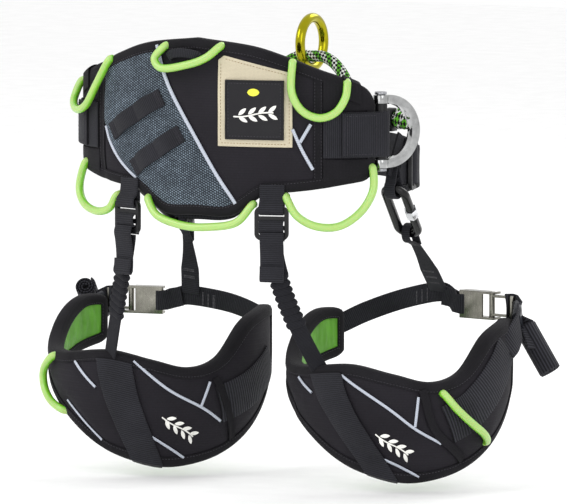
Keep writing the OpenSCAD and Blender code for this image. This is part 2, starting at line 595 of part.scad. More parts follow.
// wide webbing that runs down over a pad from the riser
wrap_top = [5, -13];
wrap_low = [21, 17];
wrap_w = 38;
wrap_rise = over_binding + 0.3;
module leg_wrap(i) color("#2c2d30")
    strip(leg_map(i), refine([[wrap_top[i], leg_top(wrap_top[i]) - binding_w - 4],
        [wrap_top[i] * 0.7 + wrap_low[i] * 0.3, -268],
        [wrap_low[i], leg_bottom(wrap_low[i]) + binding_w + 4]], 4),
        wrap_w, wrap_rise, wrap_rise + web_t, leg_r * PI / 180);
module leg_wrap_left() leg_wrap(0);
module leg_wrap_right() leg_wrap(1);
leg_loops = [
    [[-42, -246, 7], [-52, -262, 10], [-52, -284, 11], [-40, -300, 10], [-28, -304, 7]],
    [[51, -262, 7], [52, -280, 10], [60, -298, 12], [72, -310, 11], [82, -314, 7]]];
module leg_gear_loop(i) color("#9ddb45") gear_loop(leg_map(i), leg_loops[i]);
module leg_gear_loop_left() leg_gear_loop(0);
module leg_gear_loop_right() leg_gear_loop(1);

// ---- leg buckles, between the cross strap and the outer end of a pad
frame_bar = [[-231 - leg_grow, 114, -200], [231 + leg_grow, 114, -186]];
buckle_turn = -9;
hook_len = 28;
module at_leg_buckle(i) translate(frame_bar[i]) mirror([sides[i] == LEFT ? 1 : 0, 0, 0])
    rotate([0, 0, buckle_turn]) translate([-bar_x - frame_reach, -bar_y, 0]) children();
module leg_buckle_hook_left() at_leg_buckle(0) buckle_hook(leg_web_w, hook_len);
module leg_buckle_hook_right() at_leg_buckle(1) buckle_hook(leg_web_w, hook_len);
module leg_buckle_frame_left() at_leg_buckle(0) buckle_frame(leg_web_w);
module leg_buckle_frame_right() at_leg_buckle(1) buckle_frame(leg_web_w);
roll_pt = [[-262 - leg_grow, 122, -196], [256 + leg_grow, 121, -228]];
roll_tilt = [[60, 0, 20], [0, -33, 0]];
roll_len = [30, 50];
roll_r = 11;
module leg_outer_strap(i) color("#2c2d30") {
    k = sides[i];
    z = frame_bar[i][2];
    sweep(refine([for (p = [[236, 113, -2], [241.5, 106, -8], [247.4, 93, -17], [250, 80, -27]])
        [k * (p[0] + leg_grow), p[1], z + p[2]]], 3), [k, 0.3, 0], flat_section(leg_web_w, web_t));
    translate(roll_pt[i]) rotate(roll_tilt[i])
        cylinder(r = roll_r, h = roll_len[i], center = true, $fn = 48);
}
module leg_outer_strap_left() leg_outer_strap(0);
module leg_outer_strap_right() leg_outer_strap(1);

// ---- rear risers: a tab and ladder-lock on the belt, then elastic webbing down to the pad
riser_s = 81;
lock_z = -90;
lock_w = riser_w + 9;
module riser_tabs() color("#2c2d30")
    for (k = sides) layer(belt_map, hip_places(k, riser_s - riser_w / 2 + 1, riser_s + riser_w / 2 - 1, 3),
        function(s) lock_z + 17.5, function(s) lock_z + 33, over_binding, over_binding + 2 * web_t, 2);
module riser_ladder_locks() color("#1a1b1d")
    for (k = sides) translate(belt_map(k * riser_s, lock_z, 5)) rotate([0, 0, belt_heading(k * riser_s)])
        rotate([90, 0, 0]) difference() {
            rounded_plate(lock_w, 34, 7, 4);
            for (y = [-9, 0, 9]) translate([0, y, 0]) cube([riser_w + 1, 4.5, 6], center = true);
        }
module riser_tails() color("#26272a")
    for (k = sides) sweep([for (z = [-110, -122, -134, -144]) belt_map(k * (riser_s + 1), z, 8)],
        out_of(belt_map, k * riser_s, 0), flat_section(riser_w - 2, web_t));
riser_foot = [[-128, -64, -229], [101, -58, -231]];
// widths and thicknesses down a riser: strap, gathered elastic, strap
riser_form = [[23, 2], [23, 2], [17, 5], [18, 6], [18, 6], [17, 5], [17, 2], [17, 2]];
module elastic_riser(i) color("#202123") {
    k = sides[i];
    foot = riser_foot[i];
    head = belt_map(k * riser_s, lock_z - 20.5, 5);
    span = foot - head;
    path = [for (u = [0, 0.24, 0.27, 0.4, 0.55, 0.68, 0.71, 1])
        head + [span[0] * u ^ 1.3, span[1] * u ^ 1.6, span[2] * u]];
    loft([for (n = [0:len(path) - 1])
        let (t = tangent(path, n), a = unit(cross(t, [k * 0.3, -1, 0])), b = cross(a, t))
        [for (q = flat_section(riser_form[n][0], riser_form[n][1])) path[n] + q[0] * a + q[1] * b]]);
}
module elastic_riser_left() elastic_riser(0);
module elastic_riser_right() elastic_riser(1);

belt_lining();
belt_foam();
belt_shell();
belt_binding();
mesh_panel();
belt_piping();
label_backing();
label_plate();
tool_carriers();
seam_tapes();
hip_webbing();
hip_patches();
wing_caps();
grab_handle();
upper_gear_loops();
lower_gear_loops();
pin_webbing_loops();
side_ring_pins();
side_ring_sleeves();
side_ring_left();
side_ring_right();
front_webbing_left();
front_webbing_right();
waist_adjusters();
bridge_eyes();
link_hangers();
waist_buckle_hook();
waist_buckle_frame();
bridge_rope();
bridge_ring();
riser_tabs();
riser_ladder_locks();
riser_tails();
elastic_riser_left();
elastic_riser_right();
leg_link_left();
leg_link_right();
leg_link_nuts_left();
leg_link_nuts_right();
leg_front_strap_left();
leg_front_strap_right();
leg_foam_left();
leg_foam_right();
leg_shell_left();
leg_shell_right();
leg_lining_left();
leg_lining_right();
leg_binding_left();
leg_binding_right();
leg_wrap_left();
leg_wrap_right();
leg_gear_loop_left();
leg_gear_loop_right();
leg_buckle_hook_left();
leg_buckle_hook_right();
leg_buckle_frame_left();
leg_buckle_frame_right();
leg_outer_strap_left();
leg_outer_strap_right();
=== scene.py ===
"""Looks of a tree climbing saddle: a padded waist belt with two leg loops, side rings and a rope bridge."""

import math

import bmesh
import bpy
from mathutils import Matrix, Vector, noise


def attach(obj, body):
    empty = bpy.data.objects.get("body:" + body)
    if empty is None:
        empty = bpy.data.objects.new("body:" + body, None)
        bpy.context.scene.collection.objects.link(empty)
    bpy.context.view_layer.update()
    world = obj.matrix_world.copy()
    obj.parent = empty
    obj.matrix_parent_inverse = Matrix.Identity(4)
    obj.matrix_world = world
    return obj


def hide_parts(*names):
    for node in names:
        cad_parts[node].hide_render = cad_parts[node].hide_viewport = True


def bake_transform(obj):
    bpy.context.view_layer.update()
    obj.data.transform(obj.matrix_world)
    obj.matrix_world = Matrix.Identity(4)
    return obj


bl_info = {
    "name": "Tree climbing saddle",
    "version": (1, 0, 0),
    "blender": (4, 5, 0),
    "location": "3D View > Sidebar > Saddle",
    "description": "Builds the soft goods and hardware of a tree climbing saddle on its CAD frame",
    "category": "Object",
}

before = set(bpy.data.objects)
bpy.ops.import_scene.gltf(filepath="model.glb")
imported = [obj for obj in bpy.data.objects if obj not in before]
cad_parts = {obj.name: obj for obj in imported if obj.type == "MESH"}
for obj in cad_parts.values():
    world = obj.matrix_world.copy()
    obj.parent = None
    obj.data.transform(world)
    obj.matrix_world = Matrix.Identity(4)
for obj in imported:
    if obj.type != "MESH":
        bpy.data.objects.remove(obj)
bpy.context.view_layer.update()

MM = 0.001
SIDES = ("left", "right")
SIGN = (-1, 1)


def linear(hex_colour, alpha=1.0):
    """An sRGB hex colour as linear red, green, blue and alpha."""
    channels = [int(hex_colour[i : i + 2], 16) / 255 for i in (1, 3, 5)]
    return tuple(c / 12.92 if c <= 0.04045 else ((c + 0.055) / 1.055) ** 2.4 for c in channels) + (alpha,)


class SaddleSizes(bpy.types.PropertyGroup):
    """Sizes of the sewn work that a maker would change."""

    crown: bpy.props.FloatProperty(
        name="Pad crown", description="How far a pad's face stands out between its edges",
        default=2.2 * MM, min=0, max=6 * MM, subtype="DISTANCE", unit="LENGTH")
    seam_depth: bpy.props.FloatProperty(
        name="Seam depth", description="How deep a sewn line pulls a pad's face in",
        default=1.5 * MM, min=0, max=4 * MM, subtype="DISTANCE", unit="LENGTH")
    stitch_pitch: bpy.props.FloatProperty(
        name="Stitch pitch", description="Distance from one stitch to the next",
        default=3.2 * MM, min=2 * MM, max=6 * MM, subtype="DISTANCE", unit="LENGTH")
    stitch_radius: bpy.props.FloatProperty(
        name="Thread radius", description="Radius of the sewing thread",
        default=0.3 * MM, min=0.1 * MM, max=0.6 * MM, subtype="DISTANCE", unit="LENGTH")
    rib_pitch: bpy.props.FloatProperty(
        name="Webbing rib pitch", description="Distance between the cross ribs of the webbing",
        default=2.0 * MM, min=1 * MM, max=4 * MM, subtype="DISTANCE", unit="LENGTH")
    gathers: bpy.props.IntProperty(
        name="Elastic gathers", description="Number of gathered ribs in each rear elastic",
        default=8, min=4, max=14)


def colour(name, text, hex_colour):
    """A colour property with its default given in sRGB hex."""
    return bpy.props.FloatVectorProperty(
        name=name, description=text, size=4, subtype="COLOR", min=0, max=1, default=linear(hex_colour))


class SaddleColours(bpy.types.PropertyGroup):
    """Colours of the cloth, the tube and the anodised parts."""

    shell: colour("Shell", "Laminated stretch cloth of the pads", "#1d1b20")
    binding: colour("Binding", "Folded tape round the pads", "#151417")
    webbing: colour("Webbing", "Polyamide load webbing", "#1b1b1f")
    mesh: colour("Mesh", "Blue-grey woven mesh", "#7d8b98")
    piping: colour("Piping", "Reflective piping", "#b9bfcc")
    canvas: colour("Canvas", "Canvas patch on the back", "#cfc5ac")
    loop: colour("Gear loop", "PVC tube of the gear loops", "#74b82c")
    lining: colour("Lining", "Satin inside the leg pads", "#5a9a27")
    ring: colour("Bridge ring", "Anodised bridge ring", "#a39c1c")


# ---- the belt's and the leg pads' surfaces, in millimetres, as in the CAD source


def curve(x, table):
    """A smooth curve through a table of [place, value]; a value is a number or a vector."""
    i = 0
    while i < len(table) - 2 and x >= table[i + 1][0]:
        i += 1

    def slope(k):
        a, b = table[max(k - 1, 0)], table[min(k + 1, len(table) - 1)]
        return (b[1] - a[1]) / (b[0] - a[0])

    step = table[i + 1][0] - table[i][0]
    u = (x - table[i][0]) / step
    return (
        (2 * u**3 - 3 * u**2 + 1) * table[i][1]
        + (u**3 - 2 * u**2 + u) * step * slope(i)
        + (3 * u**2 - 2 * u**3) * table[i + 1][1]
        + (u**3 - u**2) * step * slope(i + 1)
    )


def refine(points, per):
    """Points between the given ones, on a smooth curve, as vectors."""
    table = [(i, Vector(p)) for i, p in enumerate(points)]
    return [curve(k / per, table) for k in range((len(points) - 1) * per + 1)]


def even(a, b, n):
    return [a + (b - a) * k / n for k in range(n + 1)]


def evenly(points, step):
    """Points a step apart along a line of vectors."""
    found, left = [points[0].copy()], step
    for a, b in zip(points, points[1:]):
        length = (b - a).length
        at = left
        while at <= length:
            found.append(a.lerp(b, at / length))
            at += step
        left = at - length
    return found


BACK_R, HIP_R, BACK_DEG, BACK_Y, HALF_LEN = 260, 88, 31, -120, 184
BACK_ARC = BACK_R * math.radians(BACK_DEG)
WING_CORNER, FOAM, CLOTH, BINDING = 14, 9, 1.2, 9
WEB, WEB_T, LEG_WEB = 45, 2, 20
OVER_BINDING = 2.0
HIP_Z, WEB_Z = -3, -36
BELT_TOP = [[0, 89], [60, 82], [100, 70], [126, 60], [150, 52], [184, 38]]
BELT_LOW = [[0, 83], [36, 83], [55, 72], [72, 61], [100, 58], [126, 55], [150, 51], [184, 46]]
PIPE_A = [[-46, 82], [-43, 73], [-30, 42], [0, -6], [24, -44], [38, -64], [43, -72]]
PIPE_B = [[-119, -3], [-112, -18], [-98, -34], [-86, -44], [-74, -52]]
PIPE_C = [[101, 3], [110, -17], [121, -37]]
PIPE_D = [[108.5, -10], [119, 8]]


def corner_cut(s, end, r):
    return r - math.sqrt(max(0, r**2 - (s - end + r) ** 2)) if s > end - r else 0


def belt_top(s):
    return curve(abs(s), BELT_TOP) - corner_cut(abs(s), HALF_LEN, WING_CORNER)


def belt_low(s):
    return corner_cut(abs(s), HALF_LEN, WING_CORNER) - curve(abs(s), BELT_LOW)


def belt_heading(s):
    a = abs(s)
    turn = a / BACK_R if a < BACK_ARC else BACK_ARC / BACK_R + (a - BACK_ARC) / HIP_R
    return math.copysign(turn, s)


def belt_map(s, z, t):
    """A point of the belt: distance along it, height, and distance out from the shell's face."""
    h, k = belt_heading(s), math.copysign(1, s)
    a, back = abs(h), math.radians(BACK_DEG)
    if abs(s) > BACK_ARC:
        x = (BACK_R - HIP_R) * math.sin(back) + HIP_R * math.sin(a)
        y = BACK_R - (BACK_R - HIP_R) * math.cos(back) - HIP_R * math.cos(a)
    else:
        x, y = BACK_R * math.sin(a), BACK_R * (1 - math.cos(a))
    return Vector((k * x + t * math.sin(h), BACK_Y + y - t * math.cos(h), z)) * MM


LEG_C = [(-137, 52), (137, 52)]
LEG_R, LEG_TUCK, LEG_END = 112, 22, 118
LEG_DEG = LEG_R * math.pi / 180
LEG_TOP = [[-120, -196], [-98, -198], [-62, -234], [-35, -240], [0, -234], [25, -243],
           [45, -251], [62, -242], [80, -210], [95, -200], [120, -196]]
LEG_LOW = [[-120, -240], [-90, -252], [-62, -268], [-35, -300], [-10, -330], [10, -343],
           [32, -350], [55, -346], [75, -335], [95, -312], [108, -284], [120, -242]]
LEG_LINING = -11.4


def leg_top(a):
    return curve(a, LEG_TOP) - 5 * corner_cut(abs(a), LEG_END, 6) / 6


def leg_low(a):
    return curve(a, LEG_LOW) + 5 * corner_cut(abs(a), LEG_END, 6) / 6


def leg_map(side):
    """A function for points of a leg pad: angle round the thigh, height, and distance out."""

    def place(a, z, t):
        r = LEG_R - LEG_TUCK * min(1, max(0, (-245 - z) / 105)) ** 2 + t
        turn = math.radians(a)
        return Vector((LEG_C[side][0] + r * math.sin(turn), LEG_C[side][1] - r * math.cos(turn), z)) * MM

    return place


# ---- a pad's face between its edges: it crowns, and each sewn line pulls it in


def away(lines, s, z, per=1.0):
    """Distance from a place to the nearest of some lines, in millimetres."""
    p, nearest = Vector((s * per, z)), 1e9
    for line in lines:
        for a, b in zip(line, line[1:]):
            a, b = Vector((a[0] * per, a[1])), Vector((b[0] * per, b[1]))
            u = max(0, min(1, (p - a).dot(b - a) / (b - a).length_squared))
            nearest = min(nearest, (p - a.lerp(b, u)).length)
    return nearest


def puff(edge, seam, s, z, seed):
    """How far a pad's face stands out, from its distances to the edge and to a seam, in millimetres."""
    sizes = bpy.context.scene.saddle_sizes
    crown = sizes.crown / MM * (1 - math.exp(-max(edge, 0) / 16))
    dip = sizes.seam_depth / MM * math.exp(-((seam / 5) ** 2))
    broad = noise.noise(Vector((s / 38, z / 24, seed)))
    fine = noise.noise(Vector((s / 13, z / 11, seed + 5)))
    soft = 0.55 * broad + 0.2 * fine
    return crown - dip + soft * min(1, max(edge, 0) / 12)


SEAMS = [[[-126, -60], [-126, 62]], [[126, -60], [126, 62]]]
BELT_LINES = [PIPE_A, PIPE_B, PIPE_C, PIPE_D, *SEAMS]


def belt_face(s, z, t):
    """A point over the belt's crowned face."""
    edge = min(belt_top(s) - z, z - belt_low(s), HALF_LEN - abs(s)) - BINDING
    hip = min(1, max(0, (150 - abs(s)) / 24))
    return belt_map(s, z, t + hip * puff(edge, away(BELT_LINES, s, z), s, z, 1))


def leg_lines(side):
    """Piping and seams of a leg pad, as lines of [angle, height]."""
    if side:
        return {
            "main": [[-3, -243], [20.5, -272], [36, -295], [51, -311]], "short": [[37.6, -263], [36, -293]],
            "low": [[5, -318], [22, -329], [40, -345]], "side": [[-36, -250], [-23, -263]],
            "rear": [[-52, -262], [-44, -282]], "seam": [[39.6, -256], [46.8, -297], [67, -330]]}
    return {
        "main": [[15.5, -242], [34, -271], [52, -290], [64, -305]], "short": [[56, -264], [51, -290]],
        "low": [[20, -314], [44, -342]], "side": [[-21, -246], [-6, -270]],
        "rear": [[-29, -287], [-7, -325]], "seam": [[59, -260], [75, -325]]}


def leg_face(side):
    """A function for points over a leg pad's crowned face."""
    place, lines = leg_map(side), list(leg_lines(side).values())

    def face(a, z, t):
        edge = min(leg_top(a) - z, z - leg_low(a), (LEG_END - abs(a)) * LEG_DEG) - BINDING
        return place(a, z, t + 1.3 * puff(edge, away(lines, a, z, LEG_DEG), a * 2, z, 7 + side))

    return face


FACES = (leg_face(0), leg_face(1))


# ---- mesh tools


def lay_grid(bm, place, columns, rows, flat):
    """A grid put in place by place(u, v), with u and v from 0 to 1; flat(u, v) is its map in millimetres."""
    uv_map = bm.loops.layers.uv.verify()
    made = bmesh.ops.create_grid(bm, x_segments=columns, y_segments=rows, size=0.5)["verts"]
    for vert in made:
        for loop in vert.link_loops:
            loop[uv_map].uv = flat(vert.co.x + 0.5, vert.co.y + 0.5)
    for vert in made:
        vert.co = place(vert.co.x + 0.5, vert.co.y + 0.5)
    bmesh.ops.remove_doubles(bm, verts=made, dist=1e-6)


def frames(path, up):
    """For each point of a path: the point, the direction across it, and the direction out of it."""
    found, last = [], len(path) - 1
    for i, p in enumerate(path):
        ahead = (path[min(i + 1, last)] - path[max(i - 1, 0)]).normalized()
        side = ahead.cross(up(i / last) if callable(up) else Vector(up)).normalized()
        found.append((p, side, side.cross(ahead)))
    return found


def lengths(points):
    """Distances along a line of vectors, in millimetres."""
    found = [0.0]
    for a, b in zip(points, points[1:]):
        found.append(found[-1] + (b - a).length / MM)
    return found


def carry(bm, stations, section, size=None, closed=False):
    """A section carried through stations, each a function of the section's two numbers. Ends are closed."""
    n, m = len(stations), len(section)
    centres = [s(0, 0) for s in stations]
    if closed:
        stations, centres = stations + stations[:1], centres + centres[:1]
        order = [(i, 1.0) for i in range(n + 1)]
    else:
        order = [(0, 0.0), (0, 0.86), *[(i, 1.0) for i in range(n)], (n - 1, 0.86), (n - 1, 0.0)]
    runs = lengths(centres)
    across = lengths([Vector((q[0], q[1], 0)) * MM for q in section + section[:1]])
    flat_wide = max(q[0] for q in section) > 2.5 * max(q[1] for q in section)

    def place(u, v):
        i, grow = order[round(u * (len(order) - 1))]
        x, y = section[round(v * m) % m]
        k = grow * (size(i / (n - 1)) if size else 1)
        return stations[i](x * k, y * k)

    def flat(u, v):
        k = round(v * m)
        return runs[order[round(u * (len(order) - 1))][0]], section[k % m][0] if flat_wide else across[k]

    lay_grid(bm, place, len(order) - 1, m, flat)


def sweep(bm, path, up, section, size=None):
    """A section in millimetres carried along a path in metres."""
    stations = [
        lambda x, y, p=p, a=a, b=b: p + (a * x + b * y) * MM for p, a, b in frames(path, up)]
    carry(bm, stations, section, size)


def strip(bm, surface, route, section, height, per=1.0, lift=None, size=None, closed=False):
    """A section carried along a route of [place, height] on a surface, standing on it at a height."""
    route = [Vector(p) for p in route]
    n = len(route)
    stations = []
    for i, p in enumerate(route):
        if closed:
            before, after = route[i - 1], route[(i + 1) % n]
        else:
            before, after = route[max(i - 1, 0)], route[min(i + 1, n - 1)]
        d = Vector(((after[0] - before[0]) * per, after[1] - before[1])).normalized()
        rise = height + (lift(i / (n - 1)) if lift else 0)
        stations.append(lambda x, y, p=p, d=d, rise=rise: surface(
            p[0] - x * d[1] / per, p[1] + x * d[0], y + rise))
    carry(bm, stations, section, size, closed)


def flat_section(width, thick, across=8):
    """A flat section with round edges."""
    half, r = width / 2, thick / 2
    upper = [(-half + r + (width - thick) * k / across, r) for k in range(across + 1)]
    edge = [(half - r + r * math.cos(a), r * math.sin(a)) for a in (0.8, 0, -0.8)]
    return upper + edge + [(-x, -y) for x, y in upper] + [(-x, -y) for x, y in edge]


def round_section(radius, sides=14, squash=1.0):
    return [(radius * math.sin(math.tau * k / sides), squash * radius * math.cos(math.tau * k / sides))
            for k in range(sides)]


def sewn(bm, line, slant=None):
    """A row of stitches along a line in metres; slant turns each one towards that direction."""
    sizes = bpy.context.scene.saddle_sizes
    pitch = sizes.stitch_pitch if slant is None else sizes.stitch_pitch * 0.42
    points = evenly(line, pitch)
    for a, b in zip(points, points[1:]):
        along = (b - a) if slant is None else slant
        turn = along.normalized().to_track_quat("X", "Z").to_matrix().to_4x4()
        half = pitch * 0.37 if slant is None else slant.length / 2
        grow = Matrix.Diagonal((half, sizes.stitch_radius, sizes.stitch_radius, 1))
        bmesh.ops.create_icosphere(
            bm, subdivisions=1, radius=1, matrix=Matrix.Translation((a + b) / 2) @ turn @ grow)


def piece(name, bm, material, body, nodes=(), wall=0.0, soft_edge=0.0, sharp=38):
    """Makes a mesh piece, gives it its finish and its body, and hides the CAD nodes it stands for."""
    mesh = bpy.data.meshes.new(name)
    bm.to_mesh(mesh)
    bm.free()
    mesh.shade_smooth()
    if sharp:
        mesh.set_sharp_from_angle(angle=math.radians(sharp))
    mesh.materials.append(material)
    obj = bpy.data.objects.new(name, mesh)
    bpy.context.scene.collection.objects.link(obj)
    if wall:
        thick = obj.modifiers.new("wall", "SOLIDIFY")
        thick.thickness, thick.offset, thick.use_even_offset = wall * MM, 0, False
    if soft_edge:
        edge = obj.modifiers.new("edge", "BEVEL")
        edge.width, edge.segments, edge.angle_limit = soft_edge * MM, 2, math.radians(50)
    if body:
        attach(obj, body)
    if nodes:
        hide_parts(*nodes)
    return obj


def closed_up(bm):
    """Closes doubles and turns every face outwards."""
    bmesh.ops.remove_doubles(bm, verts=bm.verts[:], dist=1e-6)
    bmesh.ops.recalc_face_normals(bm, faces=bm.faces[:])
    return bm


def machined(name, node, material, body, edge, angle=30):
    """A copy of a CAD node with its edges broken, standing for it."""
    bm = bmesh.new()
    bm.from_mesh(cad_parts[node].data)
    bmesh.ops.remove_doubles(bm, verts=bm.verts[:], dist=2e-6)
    bmesh.ops.dissolve_limit(bm, angle_limit=math.radians(2), verts=bm.verts[:], edges=bm.edges[:])
    sharp = [e for e in bm.edges if e.is_manifold and e.calc_face_angle(0) > math.radians(angle)]
    bmesh.ops.bevel(bm, geom=sharp, offset=edge * MM, offset_type="OFFSET", segments=3, profile=0.5,
                    affect="EDGES", material=-1, clamp_overlap=True)
    return piece(name, bm, material, body, [node])


# ---- finishes


def add(tree, kind, inputs=None, **settings):
    """Adds a node to a tree, with its settings, and its inputs set or linked."""
    node = tree.nodes.new("ShaderNode" + kind)
    for key, value in settings.items():
        setattr(node, key, value)
    for key, value in (inputs or {}).items():
        if isinstance(value, bpy.types.NodeSocket):
            tree.links.new(value, node.inputs[key])
        else:
            node.inputs[key].default_value = value
    return node


def ramp(tree, factor, stops):
    """Colours a factor by stops of (place, colour)."""
    node = add(tree, "ValToRGB", {"Fac": factor})
    elements = node.color_ramp.elements
    while len(elements) < len(stops):
        elements.new(0.5)
    for element, (place, value) in zip(elements, stops):
        element.position, element.color = place, value
    return node.outputs["Color"]


def shaded(name, **constants):
    """A new material with its tree and its shader; constants go on the shader's own sockets."""
    material = bpy.data.materials.new(name)
    material.use_nodes = True
    tree = material.node_tree
    tree.nodes.clear()
    shader = add(tree, "BsdfPrincipled", {k.replace("_", " "): v for k, v in constants.items()})
    add(tree, "OutputMaterial", {"Surface": shader.outputs[0]})
    return material, tree, shader


def paint(tree, shader, colour_socket, height=None, depth=0.0, strength=1.0):
    """Links a colour, and a height that stands up by a depth in millimetres."""
    tree.links.new(colour_socket, shader.inputs["Base Color"])
    if height is not None:
        bump = add(tree, "Bump", {"Height": height, "Distance": depth * MM, "Strength": strength})
        tree.links.new(bump.outputs[0], shader.inputs["Normal"])


def tone(value, factor):
    """A colour made lighter or darker."""
    return tuple(min(1, c * factor) for c in value[:3]) + (1.0,)


WAVE = math.tau / 20  # a band texture's scale for bands one unit apart


def woven(name, dark, light, ribs, threads, depth, slant=0.0, rib_share=0.6, uneven=0.35, roughness=0.85,
          sheen=0.05):
    """Woven cloth: cross ribs and threads, spaced in millimetres, each other thread half a rib along."""
    material, tree, shader = shaded(
        name, Roughness=roughness, Sheen_Weight=sheen, Sheen_Roughness=0.45, Specular_IOR_Level=0.14)
    coord = add(tree, "TexCoord")
    flat = add(tree, "Mapping", {"Vector": coord.outputs["UV"], "Rotation": (0, 0, slant)}).outputs[0]
    rib = add(tree, "TexWave", {"Vector": flat, "Scale": WAVE / ribs, "Distortion": 0.6, "Detail Scale": 0.4},
              bands_direction="X").outputs["Fac"]
    cell = add(tree, "TexBrick", {
        "Vector": flat, "Scale": 1, "Color1": (1, 1, 1, 1), "Color2": (0.7, 0.7, 0.7, 1),
        "Mortar": (0, 0, 0, 1),
        "Mortar Size": 0.18 * threads, "Mortar Smooth": 1, "Brick Width": ribs,
        "Row Height": threads}).outputs["Color"]
    height = add(tree, "Mix", {0: rib_share, 6: cell, 7: rib}, data_type="RGBA").outputs[2]
    worn = add(tree, "TexNoise", {"Vector": coord.outputs["Object"], "Scale": 22, "Detail": 5}).outputs["Fac"]
    # Painted shade and painted highlight: the weave's hollows take the darker colour and its crests the
    # lighter one, so a single cloth colour is painted shaded and lit along the ribs.
    cloth = add(tree, "Mix", {0: height, 6: dark, 7: light}, data_type="RGBA").outputs[2]
    patchy = add(tree, "MapRange", {"Value": worn, "From Min": 0.3, "From Max": 0.7,
                                    "To Min": 1 - uneven, "To Max": 1 + uneven}).outputs[0]
    shade = add(tree, "VectorMath", {0: cloth, "Scale": patchy}, operation="SCALE").outputs[0]
    paint(tree, shader, shade, height, depth)
    return material


def moulded(name, base, roughness, grain, depth=0.05, uneven=0.2, **constants):
    """Moulded plastic or rubber: a fine grain in millimetres, and a gloss that handling has made uneven."""
    material, tree, shader = shaded(name, **constants)
    where = add(tree, "TexCoord").outputs["Object"]
    fine = add(tree, "TexNoise", {"Vector": where, "Scale": 1 / (grain * MM), "Detail": 3}).outputs["Fac"]
    broad = add(tree, "TexNoise", {"Vector": where, "Scale": 60, "Detail": 4}).outputs["Fac"]
    shade = ramp(tree, broad, [(0.3, tone(base, 1 - uneven)), (0.7, tone(base, 1 + uneven))])
    gloss = add(tree, "MapRange", {"Value": broad, "From Min": 0.3, "From Max": 0.7,
                                   "To Min": roughness * 0.8, "To Max": min(1, roughness * 1.25)}).outputs[0]
    tree.links.new(gloss, shader.inputs["Roughness"])
    paint(tree, shader, shade, fine, depth)
    return material


def metal(name, base, roughness, streak, depth=0.02, uneven=0.08, metallic=1.0, worn=None, **constants):
    """Worked metal: fine streaks along Z from polishing or turning, and faint handling marks."""
    material, tree, shader = shaded(name, Metallic=metallic, **constants)
    where = add(tree, "TexCoord").outputs["Object"]
    drawn = add(tree, "Mapping", {"Vector": where,
                                  "Scale": (1 / (streak * MM), 1 / (streak * MM), 90)}).outputs[0]
    fine = add(tree, "TexNoise", {"Vector": drawn, "Scale": 1, "Detail": 3}).outputs["Fac"]
    broad = add(tree, "TexNoise", {"Vector": where, "Scale": 75, "Detail": 5,
                                   "Roughness": 0.6}).outputs["Fac"]
    shade = ramp(tree, broad, [(0.32, tone(base, 1 - uneven)), (0.6, base),
                               (0.74, worn or tone(base, 1 + uneven))])
    gloss = add(tree, "MapRange", {"Value": fine, "From Min": 0.25, "From Max": 0.75,
                                   "To Min": roughness * 0.7, "To Max": roughness * 1.4}).outputs[0]
    tree.links.new(gloss, shader.inputs["Roughness"])
    paint(tree, shader, shade, fine, depth)
    return material


def stretch_laminate(colours, sizes):
    # Knitted polyamide bonded to foam: matt, faintly ribbed across, with a soft sheen on its folds.
    # The ribs are drawn at 2.6 mm so that they show; their hollows are painted darker as painted shade and
    # their crests lighter as painted highlight.
    return woven("stretch_laminate", tone(colours.shell, 0.8), tone(colours.shell, 1.35), 1.3, 2.6, 0.12,
                 rib_share=0.25, uneven=0.14, roughness=0.74, sheen=0.03)


def binding_tape(colours, sizes):
    # Folded polyester tape: fine ribs along its edge, dull; the rib crests are painted paler as painted
    # highlight and the hollows darker as painted shade.
    return woven("binding_tape", tone(colours.binding, 0.7), tone(colours.binding, 1.9), 1.4, 1.5, 0.15,
                 rib_share=0.5, uneven=0.3, sheen=0.03)


def polyamide_webbing(colours, sizes):
    # Heavy woven polyamide: cross ribs of paired threads, with a painted highlight along their crests and
    # painted shade in their hollows.
    return woven("polyamide_webbing", tone(colours.webbing, 0.4), tone(colours.webbing, 2.6),
                 sizes.rib_pitch / MM, 1.1, 0.35, uneven=0.22, roughness=0.7, sheen=0.04)


def ribbed_webbing(colours, sizes):
    # Softer webbing with broad corded ribs, used for the leg panels and the rolled tails; the ribs carry a
    # painted highlight on their crests and painted shade in their hollows.
    return woven("ribbed_webbing", tone(colours.webbing, 0.35), tone(colours.webbing, 3.4), 3.0, 1.4, 0.7,
                 rib_share=0.8, uneven=0.2, roughness=0.72, sheen=0.04)


def gathered_elastic(colours, sizes):
    # Elastic sheathed in black yarn: dull, with its ribs squeezed together in the gathers; the ribs' crests
    # are painted lighter as painted highlight and their hollows darker as painted shade.
    return woven("gathered_elastic", tone(colours.webbing, 0.4), tone(colours.webbing, 2.0), 1.5, 1.2, 0.25,
                 uneven=0.2, sheen=0.03)


def spacer_mesh(colours, sizes):
    # Knitted spacer fabric: rows of open holes drawn 4 mm apart; the holes are painted near black as painted
    # shade, and the cloth grows lighter away from them.
    material, tree, shader = shaded("spacer_mesh", Roughness=0.9, Sheen_Weight=0.04, Specular_IOR_Level=0.15)
    coord = add(tree, "TexCoord").outputs["UV"]
    cells = add(tree, "TexVoronoi", {"Vector": coord, "Scale": 1 / 3.6,
                                     "Randomness": 0.15}).outputs["Distance"]
    knit_and_hole_shade = ramp(tree, cells, [(0.12, linear("#08080a")), (0.3, linear("#1c1c20")), (0.7, linear("#29292e"))])
    paint(tree, shader, knit_and_hole_shade, cells, 0.5)
    return material


